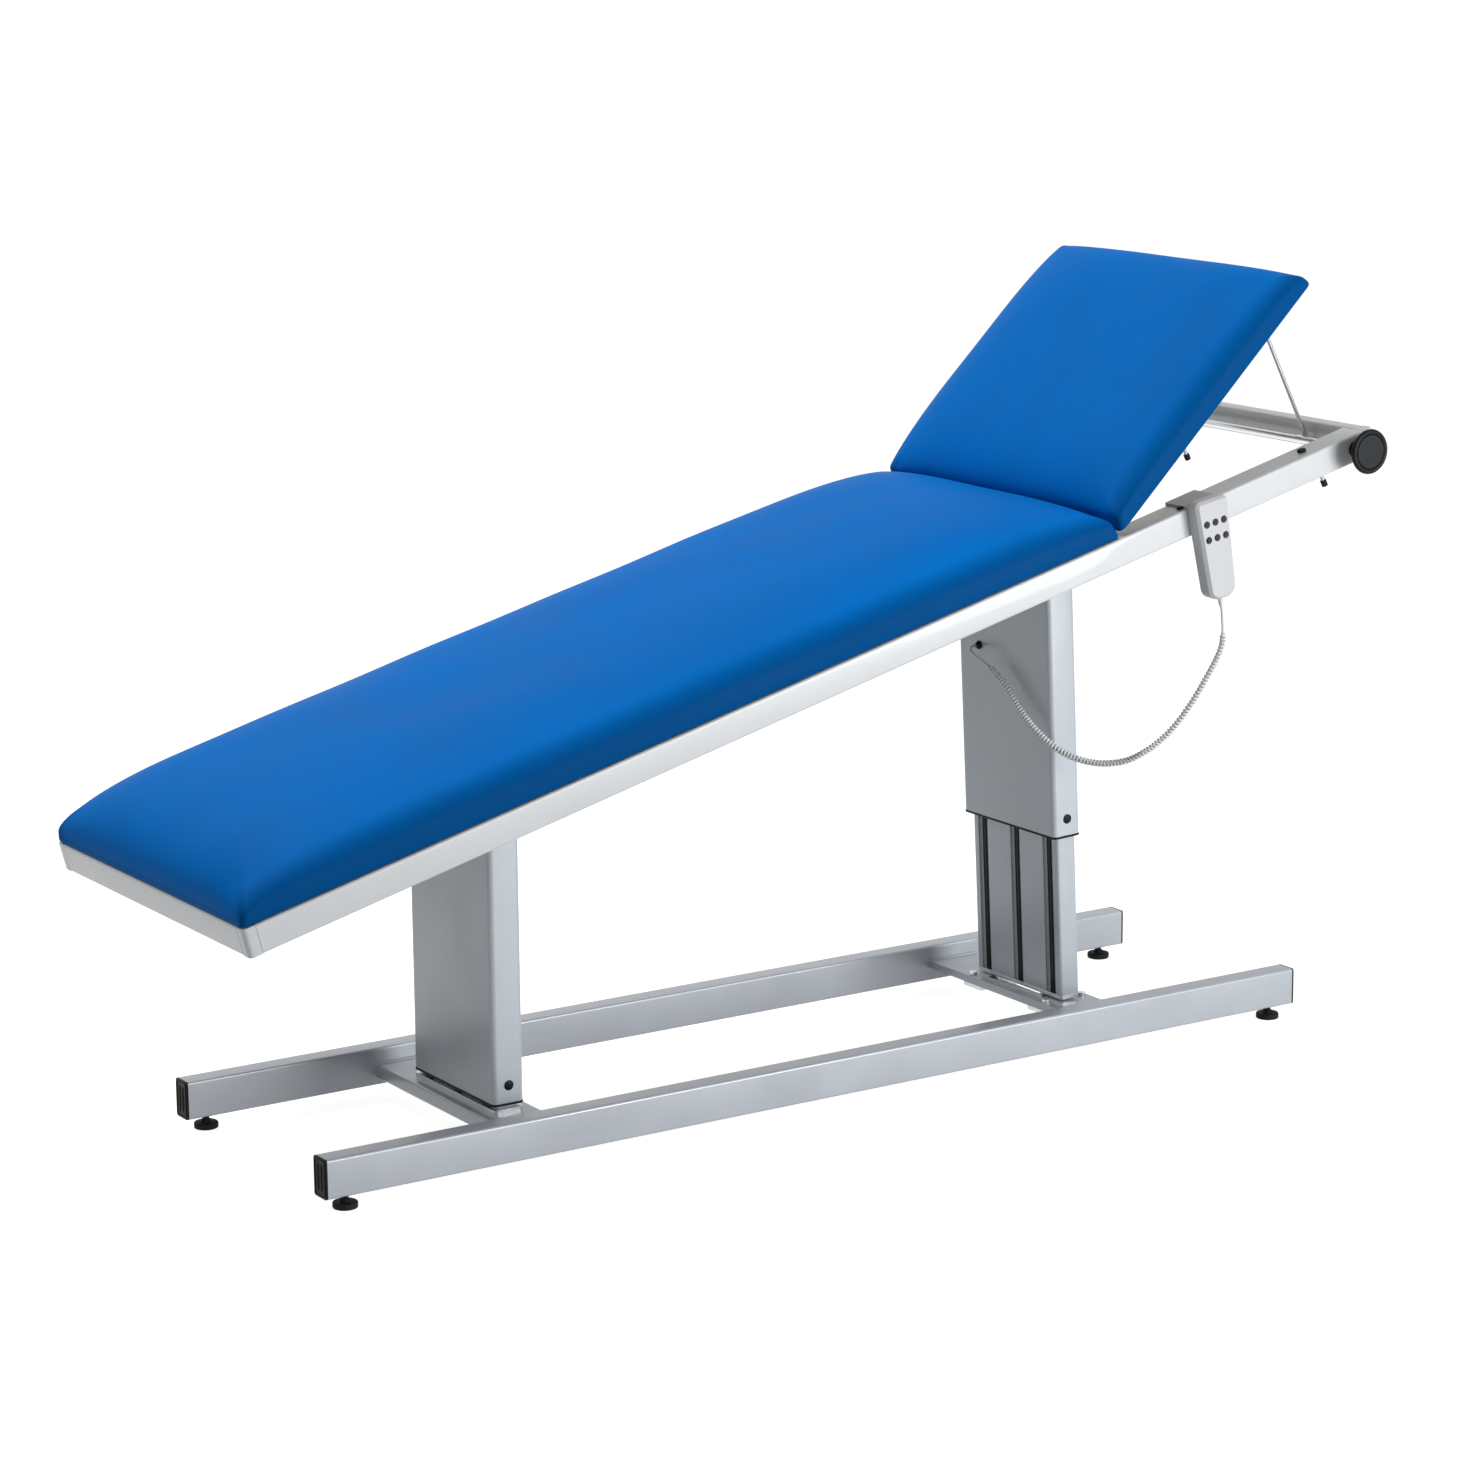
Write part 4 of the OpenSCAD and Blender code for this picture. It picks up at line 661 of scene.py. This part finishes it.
def swell_cover(points, faces, top_points):
    """Lets the top of the cover swell under the foam's pressure, as a cloth held firmly at its
    sides and lightly on its top, and keeps each point within a few millimetres of its start."""
    mesh = bpy.data.meshes.new("cover")
    mesh.from_pydata(points.tolist(), [], faces)
    cover = bpy.data.objects.new("cover", mesh)
    bpy.context.scene.collection.objects.link(cover)
    held = cover.vertex_groups.new(name="held")
    held.add(list(range(top_points)), top_hold, "REPLACE")
    held.add(list(range(top_points, len(points))), 1.0, "REPLACE")
    cloth = cover.modifiers.new("cloth", "CLOTH")
    cloth.settings.vertex_group_mass = "held"
    cloth.settings.use_pressure = True
    cloth.settings.uniform_pressure_force = pressure
    cloth.settings.effector_weights.gravity = 0
    cloth.settings.bending_stiffness = 4
    cloth.settings.quality = 5
    for step in range(1, swell_steps + 1):
        bpy.context.scene.frame_set(step)
    swollen = cover.evaluated_get(bpy.context.evaluated_depsgraph_get()).data
    moved = np.empty(len(points) * 3, np.float32)
    swollen.vertices.foreach_get("co", moved)
    bpy.context.scene.frame_set(1)
    bpy.data.objects.remove(cover)
    away = moved.reshape(-1, 3) - points
    size = np.linalg.norm(away, axis=1, keepdims=True)
    return points + away * np.minimum(1, swell_most / np.maximum(size, 1e-9))


def corner_folds(points, l, top_points):
    """Raises a narrow fold on the top along the diagonal of each corner, where the cover's slopes
    meet: the product of a bell across the diagonal and a wider one along it."""
    folded = points.copy()
    for end in (0.0, l):
        for side in (-frame_w / 2, frame_w / 2):
            s = np.abs(points[:top_points, 0] - end)
            y = np.abs(points[:top_points, 1] - side)
            off, out = (s - y) / math.sqrt(2), (s + y) / math.sqrt(2)
            rise = fold_h * np.exp(-(off / fold_w) ** 2) * np.exp(-((out - fold_from) / fold_l) ** 2)
            folded[:top_points, 2] += rise
    return folded


def cushion(name, node, body, l, crown, leans, ends, steps, origin, along, up):
    """A padded piece in the place of a solid cushion. Its attribute paints shade on the cover's
    sides: from nothing at nine tenths of the half width to fully at its edge, and at least a
    third below the top."""
    points, faces, top_points = upholstered(l, crown, *leans, ends, *steps)
    points = swell_cover(points, faces, top_points)
    points = corner_folds(points, l, top_points)
    placed = origin + points[:, :1] * along + points[:, 1:2] * frame_across + points[:, 2:] * up
    piece = new_piece(name, placed, faces, body, leatherette, "blue_leatherette")
    # Painted shade: this attribute darkens the cover's colour on the cushion's sides and on the rings
    # below the top.
    drawn = np.clip((np.abs(points[:, 1]) / (frame_w / 2) - drawn_from) / drawn_over, 0, 1)
    drawn[top_points:] = np.maximum(drawn[top_points:], side_drawn)
    piece.data.attributes.new("drawn", "FLOAT", "POINT").data.foreach_set("value", drawn)
    smooth = piece.modifiers.new("smooth", "SUBSURF")
    smooth.levels = smooth.render_levels = 1
    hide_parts(node)


cushion("main_upholstery", "main_cushion", "table_frame", main_l, main_crown, leans=(0.003, 0.011),
        ends=(9, 7), steps=(150, 60), origin=frame_origin, along=frame_along, up=frame_up)

head_tilt = table_tilt + math.radians(29.74)
head_along = np.array([math.cos(head_tilt), 0, math.sin(head_tilt)])
head_up = np.array([-math.sin(head_tilt), 0, math.cos(head_tilt)])
head_start, head_under = 0.0035, 0.009
hinge = np.array(joints["head_section_tilt"]["pos_m"])
cushion("head_upholstery", "head_cushion", "head_section", head_l, head_crown, leans=(0.011, 0.003),
        ends=(4, 3), steps=(70, 60), origin=hinge + head_start * head_along + head_under * head_up,
        along=head_along, up=head_up)

# Head section's hinges and stays
# Zinc-plated strip hinges and lugs are screwed to the boards. Two bright steel stays hang from
# the lugs and end in black caps.
for name in ("fixed_hinge_leaves", "moving_hinge_leaves", "stay_lugs"):
    dress(name, zinc, 0.0003)
stay_steel = finish("stay_steel", (0.30, 0.31, 0.33), 0.35, metallic=0.8, grain=0.00001)
dress("stay_rods", stay_steel, 0.0003)
dress("stay_caps", black_plastic, 0.0005)

# Clamp
# A steel rod across the head end with a cam beside each stay. Black plastic hand wheels with
# dark grey faces turn it in plastic bushes.
wheel_black = finish("wheel_black", (0.004, 0.004, 0.005), 0.38, grain=0.00006, grain_scale=700,
                     shine=0.15)
face_grey = finish("face_grey", (0.012, 0.016, 0.019), 0.5, grain=0.0001, grain_scale=700,
                   shine=0.15)
dress("clamp_rod", bright_steel, 0.0003)
dress("clamp_bushes", black_plastic, 0.0004)
dress("hand_wheels", wheel_black, 0.0006)
dress("wheel_faces", face_grey, 0.0004)

# Pads and control unit
# Black rubber pads on the side rails, on which the head section rests when it is flat, and a
# light grey plastic housing for the electronics under the board.
unit_plastic = finish("unit_plastic", (0.55, 0.56, 0.57), 0.5, grain=0.00008, grain_scale=500)
dress("rubber_pads", rubber, 0.0006)
dress("control_unit", unit_plastic, 0.001)

# Handset
# Two moulded light grey halves with a hook over the rail, six round black buttons, each in a
# raised ring, and a tapered sleeve for the cord.
button_dx, button_dz, button_top = 0.0165, 0.0245, 0.027
ring_r, ring_half_w, ring_h, ring_sunk = 0.00515, 0.00055, 0.0006, 0.0004
ring_turns, ring_arc = 32, 7
face_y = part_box("handset_front")[0][1]
handset_plastic = finish("handset_plastic", (0.48, 0.49, 0.505), 0.42, grain=0.00005,
                         grain_scale=700)
button_plastic = finish("button_plastic", (0.004, 0.004, 0.005), 0.45, grain=0.00003,
                        grain_scale=900, shine=0.25)
dress("handset_back", handset_plastic, 0.001, 3)
dress("handset_front", handset_plastic, 0.0006, 3)
dress("cord_sleeve", cord_plastic, 0.0003)
for name in ("all_up", "head_up", "foot_up", "all_down", "head_down", "foot_down"):
    dress(f"button_{name}", button_plastic, 0.0002)


def bezel(across, down):
    """Ring round a button: a half ellipse on a foot that is sunk into the handset's face, turned
    round the button's axis."""
    middle = (handset_middle + across * handset_right - down * handset_top + face_y * frame_across)
    turns = np.arange(ring_turns) * 2 * np.pi / ring_turns
    arc = np.linspace(0, np.pi, ring_arc)
    out = np.append(ring_r - ring_half_w * np.cos(arc), [ring_r + ring_half_w, ring_r - ring_half_w])
    rise = np.append(ring_h * np.sin(arc), [-ring_sunk, -ring_sunk])
    points = (middle + out[None, :, None] * (np.cos(turns)[:, None, None] * handset_right
                                             + np.sin(turns)[:, None, None] * handset_top)
              - rise[None, :, None] * frame_across)
    faces = grid_faces(ring_turns, len(out), closed_rows=True, closed_columns=True)
    return points.reshape(-1, 3), faces


bezels = [bezel(k * button_dx, button_top + r * button_dz) for k in (-1, 0, 1) for r in (0, 1)]
new_piece("button_bezels", *joined(bezels), "table_frame", button_plastic, "button_plastic")

bpy.context.view_layer.update()
